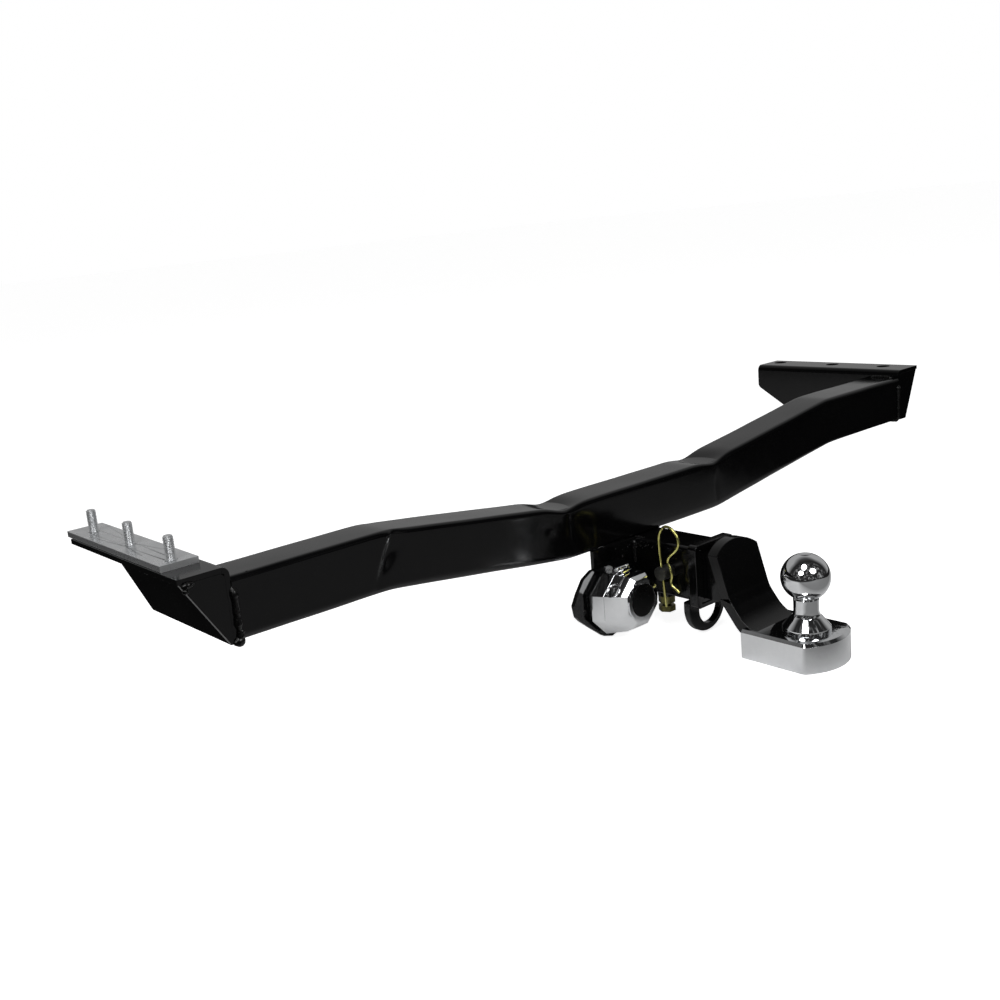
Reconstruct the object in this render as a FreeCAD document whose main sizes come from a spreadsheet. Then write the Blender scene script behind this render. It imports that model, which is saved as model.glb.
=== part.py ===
"""Removable vehicle tow bar: bent cross beam, two end brackets, receiver, drawbar, ball and socket.

Millimetres.  +Z is up, +X runs along the cross beam, -Y points back to the trailer.  The origin is
midway between the two end brackets, level with the tops of their flanges and with their rear ends.
"""
import FreeCAD, Part
import math
import os

import Sketcher

V = FreeCAD.Vector
doc = FreeCAD.newDocument("tow_bar")

# ---------------------------------------------------------------- driving dimensions
DIMENSIONS = {
    # cross beam: rectangular tube, two bends each side, all in the vertical plane
    "beam_half": 538, "beam_front": -1, "beam_depth": 51, "beam_tall": 60, "beam_wall": 4,
    "beam_top": -10.4, "beam_drop": 32.8, "bend_out": 367, "bend_in": 129, "beam_round": 5,
    # end brackets: plate bent to an L, flange outward
    "plate_thick": 5, "flange_wide": 50, "bracket_long": 235, "bracket_tall": 74, "nose_tall": 33,
    "heel_y": 167, "bend_radius": 8, "corner_radius": 8,
    "hole_out": 32, "stud_rear": 44, "stud_middle": 130, "stud_front": 216, "stud_hole_r": 5.5,
    "hole_rear": 41.5, "hole_middle": 124.5, "hole_front": 216, "bolt_hole_r": 9,
    "gusset_thick": 7, "gusset_top": 48, "left_foot": 7.5, "right_foot": 20, "gusset_low": -71,
    # stud plate and its three bolts
    "bar_wide": 38, "bar_gap": 10.5, "bar_first": 33, "bar_long": 213, "bar_thick": 6.3,
    "stud_r": 5, "stud_tall": 22.5, "head_flats": 17, "head_tall": 6.4,
    # receiver tube, collar and safety-chain loop
    "tube_wide": 50, "tube_tall": 62, "tube_wall": 5, "tube_round": 4.5, "tube_front": 50, "tube_rear": -94,
    "collar_thick": 5, "collar_side": 7.5, "collar_round": 5, "collar_front": -84, "collar_rear": -95,
    "loop_rear": -82, "loop_thick": 8.5, "loop_half": 31.2, "loop_z": -174.5,
    "eye_r": 18.2, "eye_x": 4.4, "eye_z": -179.5,
    # drawbar
    "shank_gap": 0.3, "shank_front": 30,
    "flat_half": 34.8, "flat_thick": 12, "flat_top_z": -92, "flat_top_y": -121.7, "flat_knee_y": -140,
    "flat_knee_z": -151, "flat_crown": 57, "platform_z": -180, "platform_end": -236, "ball_y": -209, "ball_bore_r": 10.1,
    # end cover
    "cover_half": 41, "cover_back": -157, "cover_r": 59.4, "cover_centre": -189.6, "cover_corner": 6,
    "cover_top": -176.5, "cover_low": -208, "cover_skin": 2.4, "cover_bevel": 3,
    # ball
    "ball_r": 25, "ball_z": -119.5, "ball_neck_r": 12.8, "seat_r": 24.5, "seat_tall": 13, "stem_r": 10,
    "stem_low": -207.5, "nut_flats": 30, "nut_tall": 11.5, "washer_r": 18, "washer_thick": 2.5,
    # hitch pin and retaining clip
    "pin_y": -50.5, "pin_z": -134.5, "pin_r": 8, "pin_hole_r": 8.06, "pin_left": -40.8, "pin_right": 31,
    "pin_head_r": 12, "clip_x": -36.7, "wire_r": 1.6, "wire_hole_r": 2.1,
    # clamp bolt under the receiver
    "clamp_y": -23, "clamp_r": 5, "clamp_nut_top": -175.5, "clamp_nut_tall": 8.5,
    "clamp_head_top": -187, "clamp_head_tall": 7,
    # trailer socket
    "socket_x": -76, "socket_z": -158.5, "seat_y": -1, "carrier_thick": 5, "carrier_left": -93,
    "carrier_low": -172, "flange_thick": 5, "bore_r": 21.5, "neck_r": 30,
    "shell_back": -12, "shell_r": 35.5, "shell_x": -77, "shell_z": -162.6,
    "shell_front": -28, "front_r": 33.6, "front_x": -75.6, "front_z": -160.1, "barrel_r": 25,
    "barrel_front": -41, "waist_y": -41, "waist_r": 32, "waist_x": -74.5, "waist_z": -158,
    "lid_front": -54, "lid_r": 24, "lid_x": -75, "lid_z": -154.2, "disc_r": 18.5,
    "hinge_y": -26.5, "hinge_z": -122.4, "hinge_r": 1.6, "knuckle_r": 3.2,
    "ear_x": 41, "ear_z": -8, "ear_hole_r": 2.8, "high_ear_z": 31,
}
sheet = doc.addObject("Spreadsheet::Sheet", "dims")
for row, (alias, value) in enumerate(DIMENSIONS.items(), start=1):
    sheet.set(f"A{row}", alias)
    sheet.set(f"B{row}", str(value))
    sheet.setAlias(f"B{row}", alias)
doc.recompute()


def size(alias):
    """Value of one driving dimension, read back from the sheet."""
    return float(sheet.get(alias))


def bind(obj, prop, rule):
    """Drive one property with an expression; names of dimensions stand alone in the rule."""
    obj.setExpression(prop, spell(rule))


def spell(rule):
    """Write a rule such as '-beam_half + 5' with every dimension's sheet prefix."""
    word, out = "", ""
    for char in f"{rule} ":
        if char.isalnum() or char in "_.":
            word += char
            continue
        out += f"dims.{word}" if word in DIMENSIONS else word
        out += char
        word = ""
    return out.strip()


def solve(rule):
    """Number that a rule gives with the sheet's present values."""
    return float(doc.getObject("dims").evalExpression(spell(rule)))


# ---------------------------------------------------------------- building blocks
def new_body(label):
    """Empty PartDesign body that becomes one named sub-part."""
    body = doc.addObject("PartDesign::Body", f"{label}_body")
    body.Label = label
    return body


def plane_of(body, role):
    """One of the body's own origin planes."""
    return next(item for item in body.Origin.OriginFeatures if item.Role == role)


def new_sketch(body, name, role, offset="0"):
    """Sketch flat on an origin plane, moved along the plane's normal by a rule."""
    sketch = body.newObject("Sketcher::SketchObject", name)
    sketch.AttachmentSupport = [(plane_of(body, role), "")]
    sketch.MapMode = "FlatFace"
    bind(sketch, "AttachmentOffset.Base.z", offset)
    return sketch


def polygon(sketch, corners):
    """Closed outline; each corner is a pair of rules, held by two dimensions from the origin."""
    points = [V(solve(across), solve(up), 0) for across, up in corners]
    first = sketch.GeometryCount
    count = len(points)
    for index in range(count):
        sketch.addGeometry(Part.LineSegment(points[index], points[(index + 1) % count]), False)
    for index in range(count):
        following = first + (index + 1) % count
        sketch.addConstraint(Sketcher.Constraint("Coincident", first + index, 2, following, 1))
    for index, (across, up) in enumerate(corners):
        for kind, rule, value in (("DistanceX", across, points[index].x), ("DistanceY", up, points[index].y)):
            number = sketch.addConstraint(Sketcher.Constraint(kind, -1, 1, first + index, 1, value))
            bind(sketch, f"Constraints[{number}]", rule)


def circle(sketch, across, up, radius):
    """Circle whose centre and radius are rules."""
    centre = V(solve(across), solve(up), 0)
    index = sketch.addGeometry(Part.Circle(centre, V(0, 0, 1), solve(radius)), False)
    number = sketch.addConstraint(Sketcher.Constraint("Radius", index, solve(radius)))
    bind(sketch, f"Constraints[{number}]", radius)
    for kind, rule, value in (("DistanceX", across, centre.x), ("DistanceY", up, centre.y)):
        number = sketch.addConstraint(Sketcher.Constraint(kind, -1, 1, index, 3, value))
        bind(sketch, f"Constraints[{number}]", rule)


def pad(body, sketch, length, midplane=False, reverse=False):
    """Pad a sketch by a rule."""
    feature = body.newObject("PartDesign::Pad", f"{sketch.Name}_pad")
    feature.Profile = sketch
    bind(feature, "Length", length)
    feature.Midplane = midplane
    feature.Reversed = reverse
    sketch.Visibility = False
    return feature


def pocket(body, sketch, length, midplane=False, reverse=False):
    """Cut a sketch out by a rule; the cut must remove material."""
    doc.recompute()
    before = body.Shape.Volume
    feature = body.newObject("PartDesign::Pocket", f"{sketch.Name}_pocket")
    feature.Profile = sketch
    bind(feature, "Length", length)
    feature.Midplane = midplane
    feature.Reversed = reverse
    sketch.Visibility = False
    doc.recompute()
    if body.Shape.Volume > before - 1:
        raise ValueError(f"{sketch.Name} cuts nothing")
    return feature


def soften(body, radius, test, kind="PartDesign::Fillet"):
    """Round (or chamfer) each edge of the body's tip that passes a test."""
    doc.recompute()
    tip = body.Tip
    names = [f"Edge{i + 1}" for i, edge in enumerate(tip.Shape.Edges) if test(edge)]
    if not names:
        raise ValueError(f"no edges to soften on {body.Label}")
    feature = body.newObject(kind, f"{tip.Name}_soft")
    feature.Base = (tip, names)
    bind(feature, "Radius" if kind.endswith("Fillet") else "Size", radius)
    doc.recompute()
    return feature


def middle(edge):
    """Point halfway along an edge."""
    return edge.valueAt(0.5 * (edge.FirstParameter + edge.LastParameter))


def runs_along(edge, axis):
    """True for a straight edge parallel to an axis letter."""
    if not isinstance(edge.Curve, Part.Line):
        return False
    return abs(getattr(edge.Curve.Direction, axis)) > 0.999


def block(name, low, high):
    """Box between two corners, each a triple of rules."""
    solid = doc.addObject("Part::Box", name)
    for prop, axis, start, end in zip(("Length", "Width", "Height"), "xyz", low, high):
        bind(solid, prop, f"({end}) - ({start})")
        bind(solid, f"Placement.Base.{axis}", start)
    return solid


def rod(name, radius, start, length, axis="z"):
    """Cylinder from a start point (three rules) along +x, -y or +z."""
    solid = doc.addObject("Part::Cylinder", name)
    bind(solid, "Radius", radius)
    bind(solid, "Height", length)
    turns = {"x": FreeCAD.Rotation(V(0, 1, 0), 90), "y": FreeCAD.Rotation(V(1, 0, 0), 90), "z": FreeCAD.Rotation()}
    solid.Placement.Rotation = turns[axis]
    for letter, rule in zip("xyz", start):
        bind(solid, f"Placement.Base.{letter}", rule)
    return solid


def hex_prism(name, flats, start, length, axis="z"):
    """Hexagonal prism from a start point along +x, -y or +z."""
    solid = doc.addObject("Part::Prism", name)
    solid.Polygon = 6
    bind(solid, "Circumradius", f"({flats}) / sqrt(3)")
    bind(solid, "Height", length)
    turns = {"x": FreeCAD.Rotation(V(0, 1, 0), 90), "y": FreeCAD.Rotation(V(1, 0, 0), 90), "z": FreeCAD.Rotation()}
    solid.Placement.Rotation = turns[axis]
    for letter, rule in zip("xyz", start):
        bind(solid, f"Placement.Base.{letter}", rule)
    return solid


def join(label, solids, kind="Part::MultiFuse"):
    """Fuse solids (or group separate ones as a compound) under one label."""
    result = doc.addObject(kind, f"{label}_joined")
    if kind == "Part::MultiFuse":
        result.Shapes = solids
    else:
        result.Links = solids
    result.Label = label
    return result


def cut(label, base, tool):
    """Base minus tool."""
    result = doc.addObject("Part::Cut", f"{label}_cut")
    result.Base = base
    result.Tool = tool
    result.Label = label
    return result


def loft(name, outlines):
    """Solid loft through closed outlines."""
    solid = doc.addObject("Part::Loft", name)
    solid.Sections = outlines
    solid.Solid = True
    solid.Ruled = True
    return solid


def octagon(name, flat_radius, centre):
    """Octagon with flats up and sideways about a centre (three rules), across the y axis."""
    outline = doc.addObject("Part::RegularPolygon", name)
    outline.Polygon = 8
    bind(outline, "Circumradius", f"({flat_radius}) / {math.cos(math.pi / 8):.9f}")
    outline.Placement.Rotation = FreeCAD.Rotation(V(1, 0, 0), 90) * FreeCAD.Rotation(V(0, 0, 1), 22.5)
    for letter, rule in zip("xyz", centre):
        bind(outline, f"Placement.Base.{letter}", rule)
    return outline


subparts = {}


def keep(label, obj):
    """Register a finished sub-part."""
    obj.Label = label
    subparts[label] = obj
    return obj


# ---------------------------------------------------------------- cross beam
def beam_outline(inset):
    """Corners of the beam's side outline, with top and bottom moved inward by a rule."""
    upper = f"beam_top - {inset}"
    lower = f"beam_top - beam_tall + {inset}"
    stations = (("-beam_half", "0"), ("-bend_out", "0"), ("-bend_in", "beam_drop"),
                ("bend_in", "beam_drop"), ("bend_out", "0"), ("beam_half", "0"))
    top = [(across, f"{upper} - {drop}") for across, drop in stations]
    bottom = [(across, f"{lower} - {drop}") for across, drop in reversed(stations)]
    return top + bottom


beam = new_body("cross_beam")
outline = new_sketch(beam, "beam_side", "XZ_Plane", "-beam_front - beam_depth")
polygon(outline, beam_outline("0"))
pad(beam, outline, "beam_depth")


def is_bend(edge):
    """Edges across the tube at the eight bend corners."""
    spot = middle(edge)
    return runs_along(edge, "y") and abs(spot.x) < size("beam_half") - 1


def is_long(edge):
    """Edges that run the length of the tube."""
    return not runs_along(edge, "y") and not runs_along(edge, "z")


soften(beam, "40", is_bend)
soften(beam, "beam_round", is_long)
hollow = new_sketch(beam, "beam_hollow", "XZ_Plane", "-beam_front - beam_depth + beam_wall")
polygon(hollow, beam_outline("beam_wall"))
pocket(beam, hollow, "beam_depth - 2 * beam_wall", reverse=True)
keep("cross_beam", beam)


# ---------------------------------------------------------------- end brackets
STUD_SPOTS = ("stud_rear", "stud_middle", "stud_front")
HOLE_SPOTS = ("hole_rear", "hole_middle", "hole_front")


def bracket(side, label, spots, hole_radius):
    """Angle bracket: flange outward at the top, tapering web; side is -1 (left) or +1 (right)."""
    body = new_body(label)
    web_in = f"{side} * beam_half"
    web_out = f"{side} * (beam_half + plate_thick)"
    rim = f"{side} * (beam_half + flange_wide)"
    section = new_sketch(body, f"{label}_section", "XZ_Plane")
    polygon(section, [(web_in, "0"), (rim, "0"), (rim, "-plate_thick"), (web_out, "-plate_thick"),
                      (web_out, "-bracket_tall"), (web_in, "-bracket_tall")])
    pad(body, section, "bracket_long", reverse=True)
    taper = new_sketch(body, f"{label}_taper", "YZ_Plane", web_in)
    polygon(taper, [("heel_y", "-bracket_tall"), ("bracket_long", "-nose_tall"),
                    ("bracket_long + 5", "-nose_tall"), ("bracket_long + 5", "-bracket_tall - 5"),
                    ("heel_y", "-bracket_tall - 5")])
    pocket(body, taper, "4 * plate_thick", midplane=True)
    holes = new_sketch(body, f"{label}_holes", "XY_Plane")
    for along in spots:
        circle(holes, f"{side} * (beam_half + hole_out)", along, hole_radius)
    pocket(body, holes, "4 * plate_thick", midplane=True)
    inner = solve(web_in)

    def outer_bend(edge):
        spot = middle(edge)
        return runs_along(edge, "y") and abs(spot.x - inner) < 0.1 and abs(spot.z) < 0.1

    def inner_bend(edge):
        spot = middle(edge)
        depth = size("plate_thick")
        return runs_along(edge, "y") and abs(abs(spot.x) - abs(inner) - depth) < 0.1 and abs(spot.z + depth) < 0.1

    def web_corner(edge):
        spot = middle(edge)
        low = abs(spot.z + size("bracket_tall")) < 0.1
        front = abs(spot.z + size("nose_tall")) < 0.1
        return runs_along(edge, "x") and (low or front)

    soften(body, "bend_radius", outer_bend)
    soften(body, "bend_radius - plate_thick", inner_bend)
    soften(body, "corner_radius", web_corner)
    keep(label, body)


bracket(-1, "left_bracket", STUD_SPOTS, "stud_hole_r")
bracket(1, "right_bracket", HOLE_SPOTS, "bolt_hole_r")

for side, label, foot in ((-1, "left_gusset", "left_foot"), (1, "right_gusset", "right_foot")):
    gusset = new_body(label)
    shape = new_sketch(gusset, f"{label}_shape", "XZ_Plane")
    root = f"{side} * (beam_half + plate_thick)"
    polygon(shape, [(root, "-bend_radius"), (f"{side} * (beam_half + bend_radius)", "-plate_thick"),
                    (f"{side} * (beam_half + gusset_top)", "-plate_thick"),
                    (f"{side} * (beam_half + {foot})", "gusset_low"), (root, "gusset_low")])
    pad(gusset, shape, "gusset_thick", reverse=True)
    keep(label, gusset)

# ---------------------------------------------------------------- stud plate and bolts
stud_bar = new_body("stud_plate")
shape = new_sketch(stud_bar, "stud_plate_shape", "XY_Plane")
polygon(shape, [("-beam_half - bar_gap", "bar_first"), ("-beam_half - bar_gap", "bar_first + bar_long"),
                ("-beam_half - bar_gap - bar_wide", "bar_first + bar_long"),
                ("-beam_half - bar_gap - bar_wide", "bar_first")])
for along in STUD_SPOTS:
    circle(shape, "-beam_half - hole_out", along, "stud_hole_r")
pad(stud_bar, shape, "bar_thick")
keep("stud_plate", stud_bar)

bolts = []
for along in STUD_SPOTS:
    spot = ("-beam_half - hole_out", along)
    shoulder = rod(f"{along}_shoulder", "stud_r + 0.2", (*spot, "-plate_thick"), "plate_thick + bar_thick + 0.3")
    shaft = rod(f"{along}_shaft", "stud_r", (*spot, "bar_thick"), "stud_tall")
    head = hex_prism(f"{along}_head", "head_flats", (*spot, "-plate_thick - head_tall"), "head_tall")
    bolts.append(join(f"{along}_bolt", [shoulder, shaft, head]))
keep("mounting_bolts", join("mounting_bolts", bolts, "Part::Compound"))

# ---------------------------------------------------------------- receiver, collar, loop
TUBE_TOP = "beam_top - beam_drop - beam_tall"
TUBE_LOW = f"{TUBE_TOP} - tube_tall"

tube = new_body("receiver_tube")
shape = new_sketch(tube, "tube_section", "XZ_Plane", "-tube_front")
polygon(shape, [("-tube_wide / 2", TUBE_TOP), ("tube_wide / 2", TUBE_TOP),
                ("tube_wide / 2", TUBE_LOW), ("-tube_wide / 2", TUBE_LOW)])
polygon(shape, [("-tube_wide / 2 + tube_wall", f"{TUBE_TOP} - tube_wall"),
                ("tube_wide / 2 - tube_wall", f"{TUBE_TOP} - tube_wall"),
                ("tube_wide / 2 - tube_wall", f"{TUBE_LOW} + tube_wall"),
                ("-tube_wide / 2 + tube_wall", f"{TUBE_LOW} + tube_wall")])
pad(tube, shape, "tube_front - tube_rear")


def tube_rim(edge):
    """Outer long edges of the receiver tube."""
    return runs_along(edge, "y") and abs(middle(edge).x) > size("tube_wide") / 2 - 0.1


soften(tube, "tube_round", tube_rim)
pin_hole = new_sketch(tube, "tube_pin_hole", "YZ_Plane")
circle(pin_hole, "pin_y", "pin_z", "pin_hole_r")
pocket(tube, pin_hole, "2 * tube_wide", midplane=True)
clamp_hole = new_sketch(tube, "tube_clamp_hole", "XY_Plane", TUBE_LOW)
circle(clamp_hole, "0", "clamp_y", "clamp_r + 0.3")
pocket(tube, clamp_hole, "2 * tube_wall + 2", midplane=True)
keep("receiver_tube", tube)

collar = new_body("receiver_collar")
shape = new_sketch(collar, "collar_section", "XZ_Plane", "-collar_front")
polygon(shape, [("-tube_wide / 2 - collar_side", f"{TUBE_TOP} + collar_thick"),
                ("tube_wide / 2 + collar_side", f"{TUBE_TOP} + collar_thick"),
                ("tube_wide / 2 + collar_side", f"{TUBE_LOW} - collar_thick"),
                ("-tube_wide / 2 - collar_side", f"{TUBE_LOW} - collar_thick")])
polygon(shape, [("-tube_wide / 2", TUBE_TOP), ("tube_wide / 2", TUBE_TOP),
                ("tube_wide / 2", TUBE_LOW), ("-tube_wide / 2", TUBE_LOW)])
pad(collar, shape, "collar_front - collar_rear")


def collar_rim(edge):
    """Outer edges of the collar that run front to back."""
    spot = middle(edge)
    return runs_along(edge, "y") and abs(spot.x) > size("tube_wide") / 2 + 1


soften(collar, "collar_round", collar_rim)
keep("receiver_collar", collar)

round_end = rod("loop_round", "loop_half", ("0", "loop_rear + loop_thick", "loop_z"), "loop_thick", "y")
stem = block("loop_stem", ("-loop_half", "loop_rear", "loop_z"), ("loop_half", "loop_rear + loop_thick", TUBE_LOW))
eye = rod("eye_round", "eye_r", ("eye_x", "loop_rear + loop_thick + 1", "eye_z"), "loop_thick + 2", "y")
mouth = block("eye_slot", ("eye_x - eye_r", "loop_rear - 1", "eye_z"),
              ("eye_x + eye_r", "loop_rear + loop_thick + 1", f"{TUBE_LOW} + 1"))
above = block("loop_above", ("-2 * loop_half", "loop_rear - 1", TUBE_LOW),
              ("2 * loop_half", "loop_rear + loop_thick + 1", f"{TUBE_LOW} + loop_half"))
keep("chain_loop", cut("chain_loop", join("loop_solid", [round_end, stem]), join("eye_space", [eye, mouth, above])))

# ---------------------------------------------------------------- drawbar
SHANK_TOP = f"{TUBE_TOP} - tube_wall - shank_gap"
SHANK_LOW = f"{TUBE_LOW} + tube_wall + shank_gap"
LEAN = "(flat_top_y - flat_knee_y) / (flat_top_z - flat_knee_z)"


def back_face(z_rule):
    """Y of the flat bar's back face at a height, on its straight leaning part."""
    slant = math.hypot(size("flat_top_y") - size("flat_knee_y"), size("flat_top_z") - size("flat_knee_z"))
    stretch = slant / (size("flat_top_z") - size("flat_knee_z"))
    return f"flat_top_y + ({z_rule} - flat_top_z) * {LEAN} + flat_thick * {stretch:.9f}"


shank = new_body("drawbar_shank")
shape = new_sketch(shank, "shank_side", "YZ_Plane")
polygon(shape, [("shank_front", SHANK_TOP), (back_face(f"({SHANK_TOP})"), SHANK_TOP),
                (back_face(f"({SHANK_LOW})"), SHANK_LOW), ("shank_front", SHANK_LOW)])
pad(shank, shape, "tube_wide - 2 * tube_wall - 2 * shank_gap", midplane=True)
pin_hole = new_sketch(shank, "shank_pin_hole", "YZ_Plane")
circle(pin_hole, "pin_y", "pin_z", "pin_hole_r")
pocket(shank, pin_hole, "2 * tube_wide", midplane=True)
keep("drawbar_shank", shank)

flat = new_body("drawbar_bar")
shape = new_sketch(flat, "flat_side", "YZ_Plane")
TOP_Y = back_face("flat_top_z")
polygon(shape, [("flat_top_y", "flat_top_z"), ("flat_knee_y", "flat_knee_z"),
                ("flat_knee_y - 22.5", "platform_z"), ("platform_end", "platform_z"),
                ("platform_end", "platform_z - flat_thick"), ("flat_knee_y - 17", "platform_z - flat_thick"),
                (back_face("(flat_knee_z - 4)"), "flat_knee_z - 4"), (TOP_Y, "flat_top_z")])
pad(flat, shape, "2 * flat_half", midplane=True)


def knee_edge(edge):
    """Edges across the flat bar at its bends."""
    spot = middle(edge)
    inside = size("platform_end") + 5 < spot.y < size("flat_top_y") - 2
    return runs_along(edge, "x") and inside and spot.z < size("flat_top_z") - 30


def end_corner(edge):
    """Upright edges at the free end of the platform."""
    return runs_along(edge, "z") and middle(edge).y < size("platform_end") + 0.1


soften(flat, "40", knee_edge)
soften(flat, "16", end_corner, "PartDesign::Chamfer")
ball_bore = new_sketch(flat, "flat_bore", "XY_Plane", "platform_z")
circle(ball_bore, "0", "ball_y", "ball_bore_r")
pocket(flat, ball_bore, "4 * flat_thick", midplane=True)
CROWN_Z = "flat_top_z - flat_crown"
crown = rod("flat_crown_disc", "flat_crown", ("0", "flat_top_y + 40", CROWN_Z), "200", "y")
below = block("flat_below", ("-2 * flat_half", "flat_top_y - 160", "platform_z - 2 * flat_thick"),
              ("2 * flat_half", "flat_top_y + 40", CROWN_Z))
crowned = doc.addObject("Part::Common", "flat_crowned")
crowned.Base = flat
crowned.Tool = join("flat_space", [crown, below])
keep("drawbar_bar", crowned)

# ---------------------------------------------------------------- end cover
cover = new_body("end_cover")


def cover_plan(sketch, half, back, radius):
    """Plan of the cover: two straight sides closed by a shallow round nose about the cover centre."""
    corner = f"(cover_centre - sqrt(({radius}) ^ 2 - ({half}) ^ 2))"
    slant = math.asin(solve(half) / solve(radius))
    cuts = 12
    nose = [(f"({radius}) * {math.sin(slant * turn):.9f}", f"cover_centre - ({radius}) * {math.cos(slant * turn):.9f}")
            for turn in (2 * step / cuts - 1 for step in range(1, cuts))]
    polygon(sketch, [(f"-({half})", back), (f"-({half})", corner), *nose, (half, corner), (half, back)])


shape = new_sketch(cover, "cover_outer", "XY_Plane", "cover_low")
cover_plan(shape, "cover_half", "cover_back", "cover_r")
pad(cover, shape, "cover_top - cover_low")


def cover_corner(edge):
    """Upright edges between a side and the nose."""
    spot = middle(edge)
    return runs_along(edge, "z") and spot.y < size("cover_back") - 5 and abs(spot.x) > size("cover_half") - 0.1


def cover_rim(edge):
    """Top edges of the cover except the back one."""
    spot = middle(edge)
    return abs(spot.z - size("cover_top")) < 0.1 and spot.y < size("cover_back") - 1


soften(cover, "cover_corner", cover_corner)
soften(cover, "cover_bevel", cover_rim, "PartDesign::Chamfer")
shape = new_sketch(cover, "cover_inner", "XY_Plane", "cover_top - cover_skin")
cover_plan(shape, "cover_half - cover_skin", "cover_back + 5", "cover_r - cover_skin")
pocket(cover, shape, "3 * (cover_top - cover_low)")
shape = new_sketch(cover, "cover_bore", "XY_Plane", "cover_top")
circle(shape, "0", "ball_y", "stem_r + 0.5")
pocket(cover, shape, "4 * cover_skin", midplane=True)
slot = new_sketch(cover, "cover_slot", "XY_Plane", "cover_top")
polygon(slot, [("-flat_half - 0.8", "cover_back + 5"), ("-flat_half - 0.8", "cover_back - 17"),
               ("flat_half + 0.8", "cover_back - 17"), ("flat_half + 0.8", "cover_back + 5")])
pocket(cover, slot, "4 * cover_skin", midplane=True)
keep("end_cover", cover)

# ---------------------------------------------------------------- ball, washer, nut
sphere = doc.addObject("Part::Sphere", "ball_sphere")
bind(sphere, "Radius", "ball_r")
bind(sphere, "Placement.Base.y", "ball_y")
bind(sphere, "Placement.Base.z", "ball_z")
crown = block("ball_crown", ("-ball_r", "ball_y - ball_r", "ball_z + ball_r * 0.97"),
              ("ball_r", "ball_y + ball_r", "ball_z + ball_r + 5"))
neck = rod("ball_neck", "ball_neck_r", ("0", "ball_y", "cover_top"), "ball_z - cover_top")
seat = doc.addObject("Part::Cone", "ball_seat")
bind(seat, "Radius1", "seat_r")
bind(seat, "Radius2", "ball_neck_r + 2.5")
bind(seat, "Height", "seat_tall")
bind(seat, "Placement.Base.y", "ball_y")
bind(seat, "Placement.Base.z", "cover_top + 3")
base = rod("ball_base", "seat_r", ("0", "ball_y", "cover_top"), "3")
stem = rod("ball_stem", "stem_r", ("0", "ball_y", "stem_low"), "cover_top - stem_low")
cropped = cut("ball_cropped", sphere, crown)
keep("tow_ball", join("tow_ball", [cropped, neck, seat, base, stem]))

PLATFORM_LOW = "platform_z - flat_thick"
disc = rod("washer_disc", "washer_r", ("0", "ball_y", f"{PLATFORM_LOW} - washer_thick"), "washer_thick")
hole = rod("washer_hole", "stem_r + 0.3", ("0", "ball_y", f"{PLATFORM_LOW} - washer_thick - 1"), "washer_thick + 2")
keep("ball_washer", cut("ball_washer", disc, hole))
NUT_LOW = f"{PLATFORM_LOW} - washer_thick - nut_tall"
nut = hex_prism("nut_block", "nut_flats", ("0", "ball_y", NUT_LOW), "nut_tall")
hole = rod("nut_hole", "stem_r + 0.02", ("0", "ball_y", f"{NUT_LOW} - 1"), "nut_tall + 2")
keep("ball_nut", cut("ball_nut", nut, hole))
ring = rod("spacer_ring", "ball_neck_r + 8", ("0", "ball_y", "platform_z"), "cover_top - cover_skin - platform_z")
hole = rod("spacer_hole", "stem_r + 0.3", ("0", "ball_y", "platform_z - 1"), "cover_top - platform_z + 2")
keep("ball_spacer", cut("ball_spacer", ring, hole))

# ---------------------------------------------------------------- hitch pin and retaining clip
shaft = rod("pin_shaft", "pin_r", ("pin_left", "pin_y", "pin_z"), "pin_right - pin_left", "x")
head = rod("pin_head", "pin_head_r", ("tube_wide / 2 + 0.5", "pin_y", "pin_z"), "5.5", "x")
body = join("pin_solid", [shaft, head])
LEAN_DEG = 5.2
lean = math.radians(LEAN_DEG)
low_end = ("clip_x", f"pin_y - {12 * math.sin(lean):.9f}", f"pin_z - {12 * math.cos(lean):.9f}")
through = rod("pin_cross", "wire_hole_r", low_end, "24")
through.Placement.Rotation = FreeCAD.Rotation(V(1, 0, 0), -LEAN_DEG)
keep("hitch_pin", cut("hitch_pin", body, through))

# R-shaped spring clip: a straight leg through the pin, a ring above, a waved leg round the pin
CLIP_PATH = [(0, -39), (0, -20), (0, 0), (0, 20), (0.5, 33), (3, 45), (12.5, 54), (22, 51), (28, 42), (28.5, 36),
             (24, 28), (14, 20.5), (10.3, 15), (11.5, 9), (13.4, 3), (13.4, -3), (11.3, -9), (12.5, -13), (17, -17),
             (21.5, -20.5)]
points = []
for across, up in CLIP_PATH:
    y = size("pin_y") - across * math.cos(lean) + up * math.sin(lean)
    z = size("pin_z") + up * math.cos(lean) + across * math.sin(lean)
    points.append(V(size("clip_x"), y, z))
curve = Part.BSplineCurve()
curve.interpolate(points)
path = Part.Wire([curve.toShape()])
start = Part.Wire([Part.Circle(points[0], curve.tangent(curve.FirstParameter)[0], size("wire_r")).toShape()])
wire = path.makePipeShell([start], True, False)
clip = doc.addObject("Part::Feature", "retaining_clip")
clip.Shape = wire
keep("retaining_clip", clip)

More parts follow.
